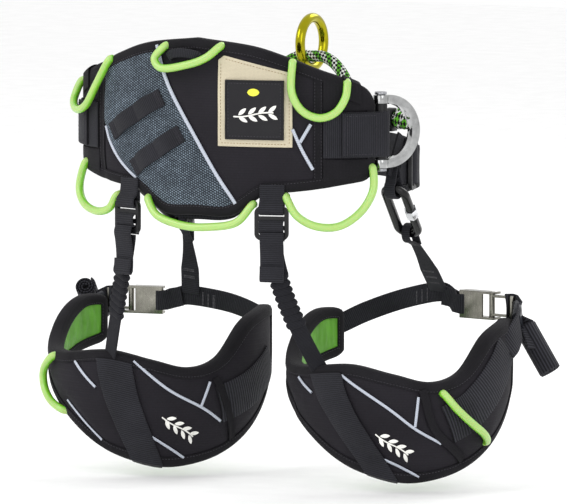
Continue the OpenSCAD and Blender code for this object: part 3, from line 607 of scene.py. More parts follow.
def twill_mesh(colours, sizes):
    # Twill of dark and pale yarns: the pale yarn floats in short dashes on slanting rows, 2.2 mm apart.
    material, tree, shader = shaded("twill_mesh", Roughness=0.8, Sheen_Weight=0.04, Specular_IOR_Level=0.15)
    coord = add(tree, "TexCoord")
    flat = add(tree, "Mapping", {"Vector": coord.outputs["UV"],
                                 "Rotation": (0, 0, math.radians(28))}).outputs[0]
    dash = add(tree, "TexBrick", {
        "Vector": flat, "Scale": 1, "Color1": (1, 1, 1, 1), "Color2": (0.5, 0.5, 0.5, 1),
        "Mortar": (0, 0, 0, 1),
        "Mortar Size": 0.52, "Mortar Smooth": 0.5, "Brick Width": 2.7, "Row Height": 2.2}).outputs["Color"]
    broad = add(tree, "TexNoise", {"Vector": coord.outputs["Object"], "Scale": 26,
                                   "Detail": 3}).outputs["Fac"]
    yarn = ramp(tree, broad, [(0.35, tone(colours.mesh, 0.62)), (0.65, colours.mesh)])
    cloth = add(tree, "Mix", {0: dash, 6: linear("#12161d"), 7: yarn}, data_type="RGBA").outputs[2]
    paint(tree, shader, cloth, dash, 0.3)
    return material


def reflective_tape(colours, sizes):
    # Glass-bead tape: pale grey with a fine slanting knurl and a tight, cool gloss; the knurl's ridges are
    # painted lighter as painted highlight and its grooves darker as painted shade.
    material, tree, shader = shaded("reflective_tape", Roughness=0.38, Metallic=0.15, Coat_Weight=0.25)
    coord = add(tree, "TexCoord").outputs["UV"]
    slanted = add(tree, "Mapping", {"Vector": coord, "Rotation": (0, 0, 0.8)}).outputs[0]
    knurl = add(tree, "TexWave", {"Vector": slanted, "Scale": WAVE / 1.5, "Distortion": 0.4}).outputs["Fac"]
    shade = ramp(tree, knurl, [(0.2, tone(colours.piping, 0.72)), (0.7, tone(colours.piping, 1.1))])
    paint(tree, shader, shade, knurl, 0.12)
    return material


def cotton_canvas(colours, sizes):
    # Undyed cotton canvas: plain weave, slubs, and a warm, slightly soiled colour; the weave's hollows are
    # painted darker as painted shade.
    return woven("cotton_canvas", tone(colours.canvas, 0.72), tone(colours.canvas, 1.04), 1.3, 1.3, 0.2,
                 rib_share=0.3, uneven=0.07, roughness=0.9, sheen=0.1)


def moulded_rubber(colours, sizes):
    # Injection-moulded rubber badge: charcoal, satin, with a fine even grain.
    return moulded("moulded_rubber", linear("#19181c"), 0.48, 0.5, 0.05, 0.1, Specular_IOR_Level=0.22)


def pvc_tube(colours, sizes):
    # Clear green PVC tube: a pale band painted along the tube's outer face is a painted highlight, the face
    # turned to the cloth is painted darker as painted shade, and the sides keep the tube's own green.
    material, tree, shader = shaded(
        "pvc_tube", Roughness=0.32, Coat_Weight=0.12, Coat_Roughness=0.12, Subsurface_Weight=0.25,
        Subsurface_Scale=2 * MM)
    coord = add(tree, "TexCoord")
    round_it = add(tree, "TexWave", {"Vector": coord.outputs["UV"], "Scale": WAVE / 24.9, "Distortion": 0.15,
                                     "Detail Scale": 0.3}, bands_direction="Y").outputs["Fac"]
    streak = add(tree, "Mapping", {"Vector": coord.outputs["UV"], "Scale": (0.02, 1.4, 1)}).outputs[0]
    fibre = add(tree, "TexNoise", {"Vector": streak, "Scale": 1, "Detail": 3}).outputs["Fac"]
    # Painted highlight and painted shade round the tube: pale on the outer face, the loop's green at the
    # sides, darker on the face towards the cloth.
    band = ramp(tree, round_it, [(0.0, linear("#a9cc72")), (0.24, linear("#9dc862")),
                                 (0.34, tone(colours.loop, 1.2)),
                                 (0.7, colours.loop), (1.0, tone(colours.loop, 0.75))])
    shade = add(tree, "VectorMath", {0: band, "Scale": add(tree, "MapRange", {
        "Value": fibre, "From Min": 0.3, "From Max": 0.7, "To Min": 0.86, "To Max": 1.1}).outputs[0]},
        operation="SCALE").outputs[0]
    paint(tree, shader, shade, fibre, 0.06)
    return material


def braided_rope(colours, sizes):
    # Braided polyester sheath: black and white strands cross at a slant, and one in two pale ones is green.
    material, tree, shader = shaded("braided_rope", Roughness=0.75, Sheen_Weight=0.05, Specular_IOR_Level=0.2)
    pitch = 3.55
    coord = add(tree, "TexCoord").outputs["UV"]
    slant = add(tree, "Mapping", {"Vector": coord, "Rotation": (0, 0, math.pi / 4),
                                  "Scale": (math.sqrt(2) / pitch, math.sqrt(2) / pitch, 1)}).outputs[0]
    check = add(tree, "TexChecker", {"Vector": slant, "Scale": 1, "Color1": (1, 1, 1, 1),
                                     "Color2": (0, 0, 0, 1)}).outputs["Fac"]
    pair = add(tree, "TexWave", {"Vector": slant, "Scale": WAVE / 4, "Phase Offset": 0.6}).outputs["Fac"]
    pale = ramp(tree, pair, [(0.49, linear("#57a523")), (0.51, linear("#d5d8d2"))])
    strand = add(tree, "Mix", {0: check, 6: linear("#0b0b0d"), 7: pale}, data_type="RGBA").outputs[2]
    over = add(tree, "TexWave", {"Vector": slant, "Scale": WAVE, "Phase Offset": -math.pi / 2}).outputs["Fac"]
    under = add(tree, "TexWave", {"Vector": slant, "Scale": WAVE, "Phase Offset": -math.pi / 2},
                bands_direction="Y").outputs["Fac"]
    height = add(tree, "Mix", {0: 0.5, 6: over, 7: under}, data_type="RGBA").outputs[2]
    paint(tree, shader, strand, height, 0.7)
    return material


def satin_cloth(colours, sizes):
    # Satin-weave polyester: bright green, smooth, with long soft highlights painted along the crests of its
    # creases as painted highlight, and painted shade in their hollows.
    material, tree, shader = shaded(
        "satin_cloth", Roughness=0.4, Sheen_Weight=0.08, Sheen_Roughness=0.3, Anisotropic=0.4,
        Specular_IOR_Level=0.35)
    coord = add(tree, "TexCoord")
    folds = add(tree, "Mapping", {"Vector": coord.outputs["UV"], "Scale": (0.05, 0.018, 1)}).outputs[0]
    crease = add(tree, "TexNoise", {"Vector": folds, "Scale": 1, "Detail": 4,
                                    "Distortion": 0.8}).outputs["Fac"]
    thread = add(tree, "TexWave", {"Vector": coord.outputs["UV"], "Scale": WAVE / 1.2},
                 bands_direction="Y").outputs["Fac"]
    # Painted highlight and painted shade: the colour follows the crease height, lighter on the crests and
    # darker in the hollows.
    shade = ramp(tree, crease, [(0.25, tone(colours.lining, 0.7)), (0.5, colours.lining),
                                (0.72, tone(colours.lining, 1.3))])
    height = add(tree, "Mix", {0: 0.12, 6: crease, 7: thread}, data_type="RGBA").outputs[2]
    paint(tree, shader, shade, height, 1.6)
    return material


def thread(name, hex_colour):
    # Bonded polyester thread: three plies with a slight waxy shine.
    def made(colours, sizes):
        return moulded(name, linear(hex_colour), 0.6, 0.6, 0.1, 0.15, Specular_IOR_Level=0.2)

    return made


FINISHES = {
    "stretch_laminate": stretch_laminate,
    "binding_tape": binding_tape,
    "polyamide_webbing": polyamide_webbing,
    "ribbed_webbing": ribbed_webbing,
    "gathered_elastic": gathered_elastic,
    "spacer_mesh": spacer_mesh,
    "twill_mesh": twill_mesh,
    "reflective_tape": reflective_tape,
    "cotton_canvas": cotton_canvas,
    "moulded_rubber": moulded_rubber,
    "pvc_tube": pvc_tube,
    "braided_rope": braided_rope,
    "satin_cloth": satin_cloth,
    "black_thread": thread("black_thread", "#403e44"),
    "tan_thread": thread("tan_thread", "#8a6f4a"),
    "grey_thread": thread("grey_thread", "#77747a"),
    "pale_thread": thread("pale_thread", "#ecebe6"),
    # Acetal: hard black plastic, satin from its mould.
    "acetal": lambda c, s: moulded("acetal", linear("#0d0d10"), 0.4, 0.4, 0.03, 0.15, Specular_IOR_Level=0.3),
    # Smoked elastomer of the strap keepers: soft, dark, slightly see-through.
    "smoked_elastomer": lambda c, s: moulded("smoked_elastomer", linear("#26282e"), 0.3, 0.8, 0.05, 0.2,
                                             Specular_IOR_Level=0.3,
                                             Coat_Weight=0.1),
    # Yellow enamelled spot on the badge.
    "yellow_enamel": lambda c, s: moulded("yellow_enamel", linear("#e3e23a"), 0.35, 0.6, 0.02, 0.05),
    # Forged aluminium, polished bright after tumbling.
    "polished_aluminium": lambda c, s: metal("polished_aluminium", linear("#b2b3b3"), 0.09, 0.5, depth=0.006,
                                             uneven=0.35),
    # Turned steel of the side rings' pins: grey and satin.
    "turned_steel": lambda c, s: metal("turned_steel", linear("#9b9ca0"), 0.3, 0.4),
    # Black anodised aluminium of the bridge eyes: dark and satin, a little paler where it wears.
    "black_anodised": lambda c, s: metal("black_anodised", linear("#0f0f13"), 0.36, 0.5, metallic=0.6,
                                         worn=linear("#1c1c22")),
    # Bright plated steel of the links' screw nuts: pale, with a clean shine.
    "plated_steel": lambda c, s: metal("plated_steel", linear("#e2e3e6"), 0.2, 0.5),
    # Black coated steel of the leg links: deep black and smooth, with a thin clear gloss.
    "black_coated_steel": lambda c, s: metal("black_coated_steel", linear("#060608"), 0.22, 0.6, metallic=0.1,
                                             worn=linear("#101014"), Specular_IOR_Level=0.3, Coat_Weight=0.1,
                                             Coat_Roughness=0.12),
    # Gold anodised aluminium of the bridge ring: a clear warm colour over bright metal.
    "gold_anodised": lambda c, s: metal("gold_anodised", c.ring, 0.17, 0.6, uneven=0.12),
    # Nickel plate over stamped steel: warm, bright, with drawn streaks.
    "nickel_plate": lambda c, s: metal("nickel_plate", linear("#8a887f"), 0.26, 0.5, uneven=0.3),
}


def finish(name):
    """A finish by name, made when it is first asked for."""
    scene = bpy.context.scene
    return bpy.data.materials.get(name) or FINISHES[name](scene.saddle_colours, scene.saddle_sizes)


# ---- the waist belt


def cushion(bm, columns, rows, end, low, high, outer, inner, per=1.0):
    """The two faces of a pad, each outer(s, z, edge) or inner(s, z, edge), bridged round the edge."""

    def spot(u, v):
        s = end * math.sin(math.pi * (u - 0.5))
        return s, low(s) + (high(s) - low(s)) * v

    for face in (outer, inner):
        def place(u, v, face=face):
            s, z = spot(u, v)
            return face(s, z, min(high(s) - z, z - low(s), (end - abs(s)) * per))

        lay_grid(bm, place, columns, rows, lambda u, v: (spot(u, v)[0] * per, spot(u, v)[1]))
    bmesh.ops.bridge_loops(bm, edges=[e for e in bm.edges if e.is_boundary])
    bmesh.ops.recalc_face_normals(bm, faces=bm.faces[:])


def rim(low, high, end, per=1.0):
    """The closed edge of a pad as evenly spaced [place, height] points."""
    places = [end * math.sin(math.pi * (k / 120 - 0.5)) for k in range(121)]
    edge = [Vector((s * per, low(s))) for s in places]
    edge += [Vector((s * per, high(s))) for s in reversed(places)]
    return [(p.x / per, p.y) for p in evenly(edge + edge[:1], 4)[:-1]]


def fold_section(width, low):
    """The outline of a tape folded round an edge: distance in from the edge, and depth from the face."""
    outer = [(width, 0.3), (width - 0.3, 1.3), (width * 0.6, 1.9), (width * 0.25, 1.6), (-0.4, 0.5),
             (-1.7, -2)]
    inner = [(x, low - y) for x, y in reversed(outer)]
    return outer + [(-2, low / 2)] + inner + [(width - 1, low + 0.4), (1, low + 1), (0.3, low / 2), (1, -1),
                                              (width - 1, -0.4)]


def offset_line(surface, ring, inwards, height, per=1.0):
    """A line at a distance in from a closed edge, and at a height over the surface."""
    found = []
    for i, p in enumerate(ring):
        a, b = Vector(ring[i - 1]), Vector(ring[(i + 1) % len(ring)])
        d = Vector(((b[0] - a[0]) * per, b[1] - a[1])).normalized()
        found.append(surface(p[0] - inwards * d[1] / per, p[1] + inwards * d[0], height))
    return found + found[:1]


def over(surface, points, height):
    """Points on a surface, through [place, height] points, at a height over it."""
    return [surface(p[0], p[1], height) for p in points]


def softened(surface, drop):
    """A pad's outer face that turns in at its edge."""
    return lambda s, z, edge: surface(s, z, -drop * math.exp(-max(edge, 0) / 3))


class SADDLE_OT_belt_pad(bpy.types.Operator):
    """Builds the belt's padded shell and its spacer lining"""

    bl_idname = "saddle.belt_pad"
    bl_label = "Belt pad"

    def execute(self, context):
        bm = bmesh.new()
        depth = -FOAM - CLOTH - 0.4
        cushion(bm, 190, 64, HALF_LEN - 1.5, lambda s: belt_low(s) + 1.5, lambda s: belt_top(s) - 1.5,
                softened(belt_face, 3), lambda s, z, e: belt_map(s, z, depth + 2 * math.exp(-max(e, 0) / 3)))
        piece("belt_shell_pad", bm, finish("stretch_laminate"), "waist_belt",
                        ["belt_shell", "belt_foam"])

        def lining_low(s):
            return belt_low(s) + 1 - (8 * math.cos(math.radians(abs(s) * 90 / 70)) if abs(s) < 70 else 0)

        def inner(s, z, e):
            quilt = 0.6 * abs(math.sin(math.pi * s / 46)) ** 0.5
            return belt_map(s, z, -12.4 - (2.4 + quilt) * (1 - math.exp(-max(e, 0) / 7)))

        bm = bmesh.new()
        cushion(bm, 150, 44, HALF_LEN - 1.5, lining_low, lambda s: belt_top(s) - 1.5,
                lambda s, z, e: belt_map(s, z, -11 - 0.8 * math.exp(-max(e, 0) / 2)), inner)
        piece("belt_lining_pad", bm, finish("spacer_mesh"), "waist_belt",
                        ["belt_lining"])
        return {"FINISHED"}


class SADDLE_OT_belt_edge(bpy.types.Operator):
    """Builds the folded tape round the belt with its stitching"""

    bl_idname = "saddle.belt_edge"
    bl_label = "Belt edge binding"

    def execute(self, context):
        ring = rim(belt_low, belt_top, HALF_LEN - 0.4)
        bm = bmesh.new()
        strip(bm, belt_face, ring, fold_section(BINDING, -FOAM - CLOTH - 0.4), 0, closed=True)
        piece("belt_edge_tape", closed_up(bm), finish("binding_tape"), "waist_belt",
              ["belt_binding"], sharp=60)
        bm = bmesh.new()
        sewn(bm, offset_line(belt_face, ring, BINDING - 1.8, 1.75))
        for k in (-1, 1):
            for s in (122.8, 129.2):
                sewn(bm, over(belt_face, [(k * s, z) for z in even(-46, 50, 24)], 1.4))
        piece("belt_edge_stitching", bm, finish("black_thread"), "waist_belt", sharp=0)
        return {"FINISHED"}


def mesh_low(s):
    return curve(s, [[-122, 0], *PIPE_B]) if s < -74 else belt_low(s) + 4


def mesh_high(s):
    return belt_top(s) - 4 if s < -46 else min(belt_top(s) - 4, curve(s, PIPE_A))


class SADDLE_OT_mesh_and_piping(bpy.types.Operator):
    """Builds the blue-grey mesh panel, the pale piping and the seam tapes on the belt"""

    bl_idname = "saddle.mesh_and_piping"
    bl_label = "Mesh panel and piping"

    def execute(self, context):
        def spot(u, v):
            s = -121 + 163 * u
            return s, mesh_low(s) + (mesh_high(s) - mesh_low(s)) * v

        bm = bmesh.new()
        lay_grid(bm, lambda u, v: belt_face(*spot(u, v), 0.75), 84, 52, spot)
        piece("belt_mesh_panel", bm, finish("twill_mesh"), "waist_belt", ["mesh_panel"],
              wall=0.7)
        bm = bmesh.new()
        for route, radius in ((PIPE_A, 1.9), (PIPE_B, 1.6), (PIPE_C, 1.7), (PIPE_D, 1.7)):
            strip(bm, belt_face, refine(route, 6), round_section(radius, 12, 0.75), 1.6)
        piece("belt_pale_piping", closed_up(bm), finish("reflective_tape"), "waist_belt",
              ["belt_piping"])
        bm = bmesh.new()
        for s in (-126, 126):
            route = [(s, z) for z in even(belt_low(s) + 3, belt_top(s) - 3, 26)]
            strip(bm, belt_face, route, flat_section(8.5, 1.2), 0.9)
        piece("belt_seam_tapes", closed_up(bm), finish("binding_tape"), "waist_belt",
              ["seam_tapes"])
        return {"FINISHED"}


def twig(bm, surface, centre, reach, turn, height, per=1.0):
    """A plain sprig of leaves, the maker's own filler for a badge: a stem and four pairs of leaves."""
    along = Vector((math.cos(turn), math.sin(turn)))
    across = Vector((-along.y, along.x))

    def spot(x, y):
        p = along * x + across * y
        return centre[0] + p.x / per, centre[1] + p.y

    stem = [spot(x, 0.05 * reach * math.sin(3 * x / reach)) for x in even(-reach, reach, 12)]
    strip(bm, surface, stem, round_section(0.75, 8), height, per)
    for k in range(4):
        x = reach * (-0.75 + 0.5 * k)
        for side in (-1, 1):
            leaf = [spot(x + reach * 0.42 * u, side * reach * (0.04 + 0.3 * u)) for u in even(0, 1, 8)]
            strip(bm, surface, leaf, flat_section(reach * 0.2, 0.9, 4), height, per,
                  size=lambda u: max(0.05, math.sin(math.pi * u) ** 0.7))


LABEL = (26, 101)
LABEL_LOW, LABEL_HIGH = -15, (76, 58)
PLATE = (34, 93, -8, 51)


class SADDLE_OT_label(bpy.types.Operator):
    """Builds the canvas patch and the rubber badge with a plain sprig on it"""

    bl_idname = "saddle.label"
    bl_label = "Canvas patch and badge"

    def execute(self, context):
        def top(s):
            slope = LABEL_HIGH[0] + (LABEL_HIGH[1] - LABEL_HIGH[0]) * (s - LABEL[0]) / (LABEL[1] - LABEL[0])
            return slope - max(0, 6 - (s - LABEL[0]))

        def spot(u, v):
            s = LABEL[0] + (LABEL[1] - LABEL[0]) * u
            return s, LABEL_LOW + (top(s) - LABEL_LOW) * v

        bm = bmesh.new()
        lay_grid(bm, lambda u, v: belt_face(*spot(u, v), 1.1), 40, 44, spot)
        piece("label_canvas_patch", bm, finish("cotton_canvas"), "waist_belt",
              ["label_backing"],
              wall=1.1, soft_edge=0.3)

        inset = 3
        border = [spot(u, inset / 80) for u in even(inset / 75, 1 - inset / 75, 20)]
        right = [(LABEL[1] - inset, z) for z in even(LABEL_LOW + inset, top(LABEL[1]) - inset, 16)]
        upper = [(s, top(s) - inset) for s in even(LABEL[1] - inset, LABEL[0] + 7, 16)]
        left = [(LABEL[0] + inset, z) for z in even(top(LABEL[0]) - inset, LABEL_LOW + inset, 16)]
        bm = bmesh.new()
        for line in (border, right, upper, left):
            sewn(bm, over(belt_face, line, 1.75))
        piece("label_patch_stitching", bm, finish("tan_thread"), "waist_belt", sharp=0)

        s0, s1, z0, z1 = PLATE
        bm = bmesh.new()
        lay_grid(bm, lambda u, v: belt_face(s0 + (s1 - s0) * u, z0 + (z1 - z0) * v, 2.5), 30, 30,
                 lambda u, v: (s0 + (s1 - s0) * u, z0 + (z1 - z0) * v))
        piece("label_rubber_badge", bm, finish("moulded_rubber"), "waist_belt",
              ["label_plate"],
              wall=1.8, soft_edge=0.5)

        def frame_line(inset):
            corners = [(s0 + inset, z0 + inset), (s1 - inset, z0 + inset), (s1 - inset, z1 - inset),
                       (s0 + inset, z1 - inset), (s0 + inset, z0 + inset)]
            return [Vector(a).lerp(Vector(b), u) for a, b in zip(corners, corners[1:])
                    for u in even(0, 1, 20)[:-1]]

        bm = bmesh.new()
        strip(bm, belt_face, frame_line(0.9), round_section(0.8, 8), 3.3, closed=True)
        piece("label_badge_rim", closed_up(bm), finish("moulded_rubber"), "waist_belt")
        bm = bmesh.new()
        line = frame_line(3.4)
        sewn(bm, over(belt_face, line + line[:1], 3.4))
        piece("label_badge_stitching", bm, finish("black_thread"), "waist_belt", sharp=0)
        bm = bmesh.new()
        twig(bm, belt_face, (63, 17), 20, math.radians(6), 3.5)
        piece("label_badge_sprig", closed_up(bm), finish("pale_thread"), "waist_belt")
        bm = bmesh.new()
        strip(bm, belt_face, [(57 + 12 * u, 39) for u in even(0, 1, 14)], flat_section(7.5, 0.8, 6), 3.5,
              size=lambda u: max(0.04, math.sin(math.pi * u) ** 0.5))
        piece("label_badge_spot", closed_up(bm), finish("yellow_enamel"), "waist_belt")
        return {"FINISHED"}


CARRIERS = ([[-106, -8], [-70, 13], [-37, 31]], [[-75, -42], [-43, -22], [-14, -4]])


def tacked(bm, surface, at, across, height, width, rows=2, per=1.0):
    """A bartack: rows of close stitches across a strap at a place."""
    across = Vector(across).normalized()
    ahead = Vector((across.y, -across.x))
    for row in range(rows):
        line = []
        for x in even(-width / 2, width / 2, 6):
            p = across * x + ahead * (row - (rows - 1) / 2) * 2.4
            line.append(surface(at[0] + p.x / per, at[1] + p.y, height))
        on = surface(at[0] + ahead.x / per, at[1] + ahead.y, height) - surface(at[0], at[1], height)
        sewn(bm, line, slant=on * 1.6)


class SADDLE_OT_belt_webbing(bpy.types.Operator):
    """Builds the tool carriers, the hip webbing round the pins, the wing panels and the grab handle"""

    bl_idname = "saddle.belt_webbing"
    bl_label = "Belt webbing"

    def execute(self, context):
        tacks, webbing = bmesh.new(), bmesh.new()
        for route in CARRIERS:
            line = refine(route, 16)
            strip(webbing, belt_face, line, flat_section(18, 1.7), 2.2,
                  lift=lambda u: 3.4 * abs(math.sin(math.pi * max(0, min(1, (u - 0.1) / 0.8)) * 2)) ** 0.8)
            for u in (0.05, 0.5, 0.95):
                i = round(u * (len(line) - 1))
                d = (line[min(i + 1, len(line) - 1)] - line[max(i - 1, 0)]).normalized()
                tacked(tacks, belt_face, line[i], (-d.y, d.x), 3.3, 15)
        piece("belt_tool_carriers", closed_up(webbing), finish("polyamide_webbing"), "waist_belt",
              ["tool_carriers"])

        # the pin's centre, the webbing's radius round it, and its plan from the hip out round the pin
        hips, patches = bmesh.new(), bmesh.new()
        pin_s, loop_r = HALF_LEN + 11, 7.9
        for k in (-1, 1):
            heading = belt_heading(pin_s)
            out = Vector((k * math.sin(heading), -math.cos(heading), 0))
            ahead = Vector((k * math.cos(heading), math.sin(heading), 0))
            centre = belt_map(k * pin_s, HIP_Z, OVER_BINDING - 6.9)
            path = [belt_map(k * s, HIP_Z, 3.2) for s in even(131, 192, 30)]
            path += [centre + (out * math.cos(a) + ahead * math.sin(a)) * loop_r * MM
                     for a in even(0.1, 3.9, 22)]
            sweep(hips, path, (0, 0, 1), tall(WEB, WEB_T))
            patch = [belt_map(k * s, HIP_Z, 5.4) for s in even(149, 190, 22)]
            sweep(patches, patch, (0, 0, 1), [(y, x) for x, y in flat_section(WEB - 2, WEB_T, 10)])
            for s in (134, 151, 154, 182):
                lift = 4.4 if s < 140 else 6.6
                line = [belt_map(k * s, HIP_Z + z, lift) for z in even(-20, 20, 12)]
                sewn(tacks, line, slant=Vector((0, 0, 1.2 * MM)))
            for z in (-19, 19):
                sewn(tacks, [belt_map(k * s, HIP_Z + z, 6.6) for s in even(152, 182, 12)])
        piece("hip_webbing_bands", closed_up(hips), finish("polyamide_webbing"), "waist_belt",
              ["hip_webbing", "pin_webbing_loops"])
        piece("hip_webbing_patches", closed_up(patches), finish("polyamide_webbing"), "waist_belt",
              ["hip_patches"])
        piece("belt_tacks", tacks, finish("black_thread"), "waist_belt", sharp=0)

        caps = bmesh.new()
        for k in (-1, 1):
            for s0, s1, z0, z1 in ((131, 181, 21, 34), (131, 181, -44, -27)):
                def spot(u, v, k=k, s0=s0, s1=s1, z0=z0, z1=z1):
                    s = s0 + (s1 - s0) * u
                    high = belt_top(s) - 5 if z1 > 0 else z1
                    low = z0 if z0 > 0 else belt_low(s) + 5
                    return k * s, low + (high - low) * v

                lay_grid(caps, lambda u, v: belt_map(*spot(u, v), 1.5), 22, 10, spot)

            def fold(u, v, k=k):
                s = 151 + 17 * u
                high = belt_top(s)
                if v < 0.6:
                    return belt_map(k * s, high - 18 + 19 * v / 0.6, 3.0)
                turn = (v - 0.6) / 0.4
                return belt_map(k * s, high + 1 + 3 * math.sin(math.pi * turn), 3.0 - 16 * turn)

            lay_grid(caps, fold, 12, 20, lambda u, v: (17 * u, 34 * v))
        piece("wing_cloth_panels", caps, finish("binding_tape"), "waist_belt", ["wing_caps"],
              wall=1.2, soft_edge=0.3)

        bm = bmesh.new()
        line = refine([[-29, 70], [-24, 74], [-10, 76], [4, 74], [8, 70]], 8)
        strip(bm, belt_face, line, flat_section(9, 2), 2.6, lift=lambda u: 4.5 * math.sin(math.pi * u))
        piece("belt_grab_handle", closed_up(bm), finish("polyamide_webbing"), "waist_belt",
              ["grab_handle"])
        return {"FINISHED"}


LOOPS = {
    "upper_gear_loops": [
        [[-35, 80, 7], [-42, 69, 9], [-31, 60, 11], [-2, 65, 11], [16, 72, 10], [27, 82, 7]],
        [[-112, 62, 7], [-126, 38, 9], [-143, 16, 11], [-163, 11, 12], [-180, 20, 11], [-184, 36, 8]],
        [[101, 66, 7], [101, 40, 9], [111, 22, 11], [127, 15, 12], [142, 20, 12], [151, 34, 10],
         [154, 47, 7]]],
    "lower_gear_loops": [
        [[-160, -44, 7], [-162, -66, 9], [-148, -82, 10], [-124, -88, 10], [-106, -84, 8], [-100, -72, 7]],
        [[-54, -72, 7], [-39, -87, 8], [-8, -95, 9], [20, -95, 9], [46, -90, 8], [60, -74, 7]],
        [[96, -66, 7], [106, -82, 9], [124, -92, 10], [146, -92, 10], [166, -78, 9], [178, -58, 8],
         [180, -38, 7]]]}
# The leg tubes follow points of their own, up to about 15 mm from those of the CAD solids they stand for.
LEG_LOOPS = ([[-42, -246, 7], [-50, -260, 8], [-51, -275, 9], [-44, -289, 8], [-35, -297, 7]],
             [[51, -262, 7], [57, -277, 10], [65, -291, 12], [74, -303, 11], [82, -312, 7]])


def gear_loop(bm, surface, row):
    """A tube whose ends go in under the cloth."""
    tube_r, rests_at, hidden_at = 4, 4.2, -1.5
    first, last = Vector(row[0]), Vector(row[-1])
    for end in (first, last):
        end.z = rests_at
    start = first + (first - Vector(row[1])).normalized() * 3
    stop = last + (last - Vector(row[-2])).normalized() * 3
    start.z = stop.z = hidden_at
    path = [surface(*p) for p in refine([start, first, *row[1:-1], last, stop], 7)]
    s, z = (row[0][0] + row[-1][0]) / 2, row[0][1]
    sweep(bm, path, surface(s, z, 1) - surface(s, z, 0), round_section(tube_r, 14))


class SADDLE_OT_gear_loops(bpy.types.Operator):
    """Builds the green tube loops on the belt and the leg pads"""

    bl_idname = "saddle.gear_loops"
    bl_label = "Gear loops"

    def execute(self, context):
        for node, rows in LOOPS.items():
            bm = bmesh.new()
            for row in rows:
                gear_loop(bm, belt_map, row)
            piece(f"belt_{node}", closed_up(bm), finish("pvc_tube"), "waist_belt", [node])
        for i, side in enumerate(SIDES):
            bm = bmesh.new()
            gear_loop(bm, leg_map(i), LEG_LOOPS[i])
            piece(f"leg_tube_loop_{side}", closed_up(bm), finish("pvc_tube"), f"leg_{side}",
                  [f"leg_gear_loop_{side}"])
        return {"FINISHED"}


# ---- the front of the waist

FRONT_R1, FRONT_TURN = 80, math.radians(125)
WING_H = belt_heading(HALF_LEN - 14)
WING_X, WING_Y = [c / MM for c in belt_map(HALF_LEN - 14, 0, -FOAM)[:2]]
FRONT_R2 = (WING_X + FRONT_R1 * (math.sin(FRONT_TURN) - math.sin(WING_H))) / math.sin(FRONT_TURN)
ADJUSTER = 110


def front(side, degrees, rise, out):
    """A point of the front webbing by its heading, height from its middle, and distance out."""
    h = math.radians(degrees)
    turn = min(h, FRONT_TURN)
    x = WING_X + FRONT_R1 * (math.sin(turn) - math.sin(WING_H))
    y = WING_Y + FRONT_R1 * (math.cos(WING_H) - math.cos(turn))
    if h > FRONT_TURN:
        x += FRONT_R2 * (math.sin(h) - math.sin(FRONT_TURN))
        y += FRONT_R2 * (math.cos(FRONT_TURN) - math.cos(h))
    start = math.degrees(WING_H)
    z = HIP_Z + (WEB_Z - HIP_Z) * (degrees - start) / (100 - start) if degrees < 100 else WEB_Z
    return Vector((SIGN[side] * (x + out * math.sin(h)), y - out * math.cos(h), z + rise)) * MM


def tall(width, thick, across=10):
    """A flat section that stands upright."""
    return [(y, x) for x, y in flat_section(width, thick, across)]


def eye(bm, centre, towards, axis, radius, reach, width, thick):
    """A sewn eye: webbing round a bar, closed at its neck."""
    towards, axis = Vector(towards).normalized(), Vector(axis).normalized()
    towards = (towards - axis * towards.dot(axis)).normalized()
    across = axis.cross(towards)
    neck = [centre + (towards * reach + across * thick * 0.5 * k) * MM for k in (-1, 1)]
    round_it = [centre + (towards * math.cos(a) + across * math.sin(a)) * radius * MM
                for a in even(-0.75, 0.75 - math.tau, 30)]
    sweep(bm, [neck[0], *round_it, neck[1]], axis, tall(width, thick, 6))


HANG = [Vector((-150, 38, -69)) * MM, Vector((166, -16, -60)) * MM]
LINK_DIR = [Vector((18, 54, -44)).normalized(), Vector((-14, 66, -56)).normalized()]
LINK_LEN, BEND_R, EYE_R = 56, 10.5, 9.1
FRONT_Y = front(1, 180, 0, 0).y / MM


class SADDLE_OT_front_webbing(bpy.types.Operator):
    """Builds the front webbing, its turns through the adjusters and the eyes that the leg links hang from"""

    bl_idname = "saddle.front_webbing"
    bl_label = "Front webbing"

    def execute(self, context):
        for i, side in enumerate(SIDES):
            bm = bmesh.new()
            last = 180 - 30.5 / FRONT_R2 * 180 / math.pi
            bar = Vector((SIGN[i] * (27 if i else 25), FRONT_Y - (1 if i else 5.9), WEB_Z)) * MM
            path = [front(i, h, 0, -1) for h in even(82, 150, 40)]
            path += [front(i, h, 0, -1 + 3 * u) for u, h in zip(even(0.1, 1, 8), even(153, last, 8))]
            turn = [bar + Vector((-SIGN[i] * math.sin(a), math.cos(a), 0)) * 4.2 * MM
                    for a in even(0.1, 3.0, 12)]
            path += turn + [front(i, h, 0, -6.5) for h in even(last - 1, 156, 4)]
            sweep(bm, path, (0, 0, 1), tall(WEB, WEB_T))
            step = 180 / math.pi / FRONT_R1
            through = [(-26, 1.2), (-16, 1.6), (-10, 3.0), (-7, 6), (-3, 8.6), (3, 8.6), (7, 6), (10, 3.0),
                       (16, 1.6), (26, 1.2)]
            path = refine([front(i, ADJUSTER + d * step, 0, t) for d, t in through], 4)
            sweep(bm, path, (0, 0, 1), tall(WEB - 2, WEB_T))
            tail = refine([front(i, ADJUSTER + d * step, r, t) for d, r, t in
                           ((8, -2, 6), (14, -4, 9), (24, -9, 11), (36, -15, 10), (44, -20, 8))], 5)
            sweep(bm, tail, (0, 0, 1), tall(38, WEB_T))
            piece(f"front_webbing_band_{side}", closed_up(bm), finish("polyamide_webbing"), "waist_belt",
                  [f"front_webbing_{side}"])
        bm = bmesh.new()
        for centre in HANG:
            eye(bm, centre, (0, 0, 1), (1, 0, 0), EYE_R, 24, 12, WEB_T)
        piece("link_hanger_eyes", closed_up(bm), finish("polyamide_webbing"), "waist_belt",
              ["link_hangers"])
        machined("waist_adjuster_plates", "waist_adjusters", finish("acetal"), "waist_belt",
                 0.9)
        machined("bridge_eye_fittings", "bridge_eyes", finish("black_anodised"), "waist_belt",
                 0.8)
        return {"FINISHED"}


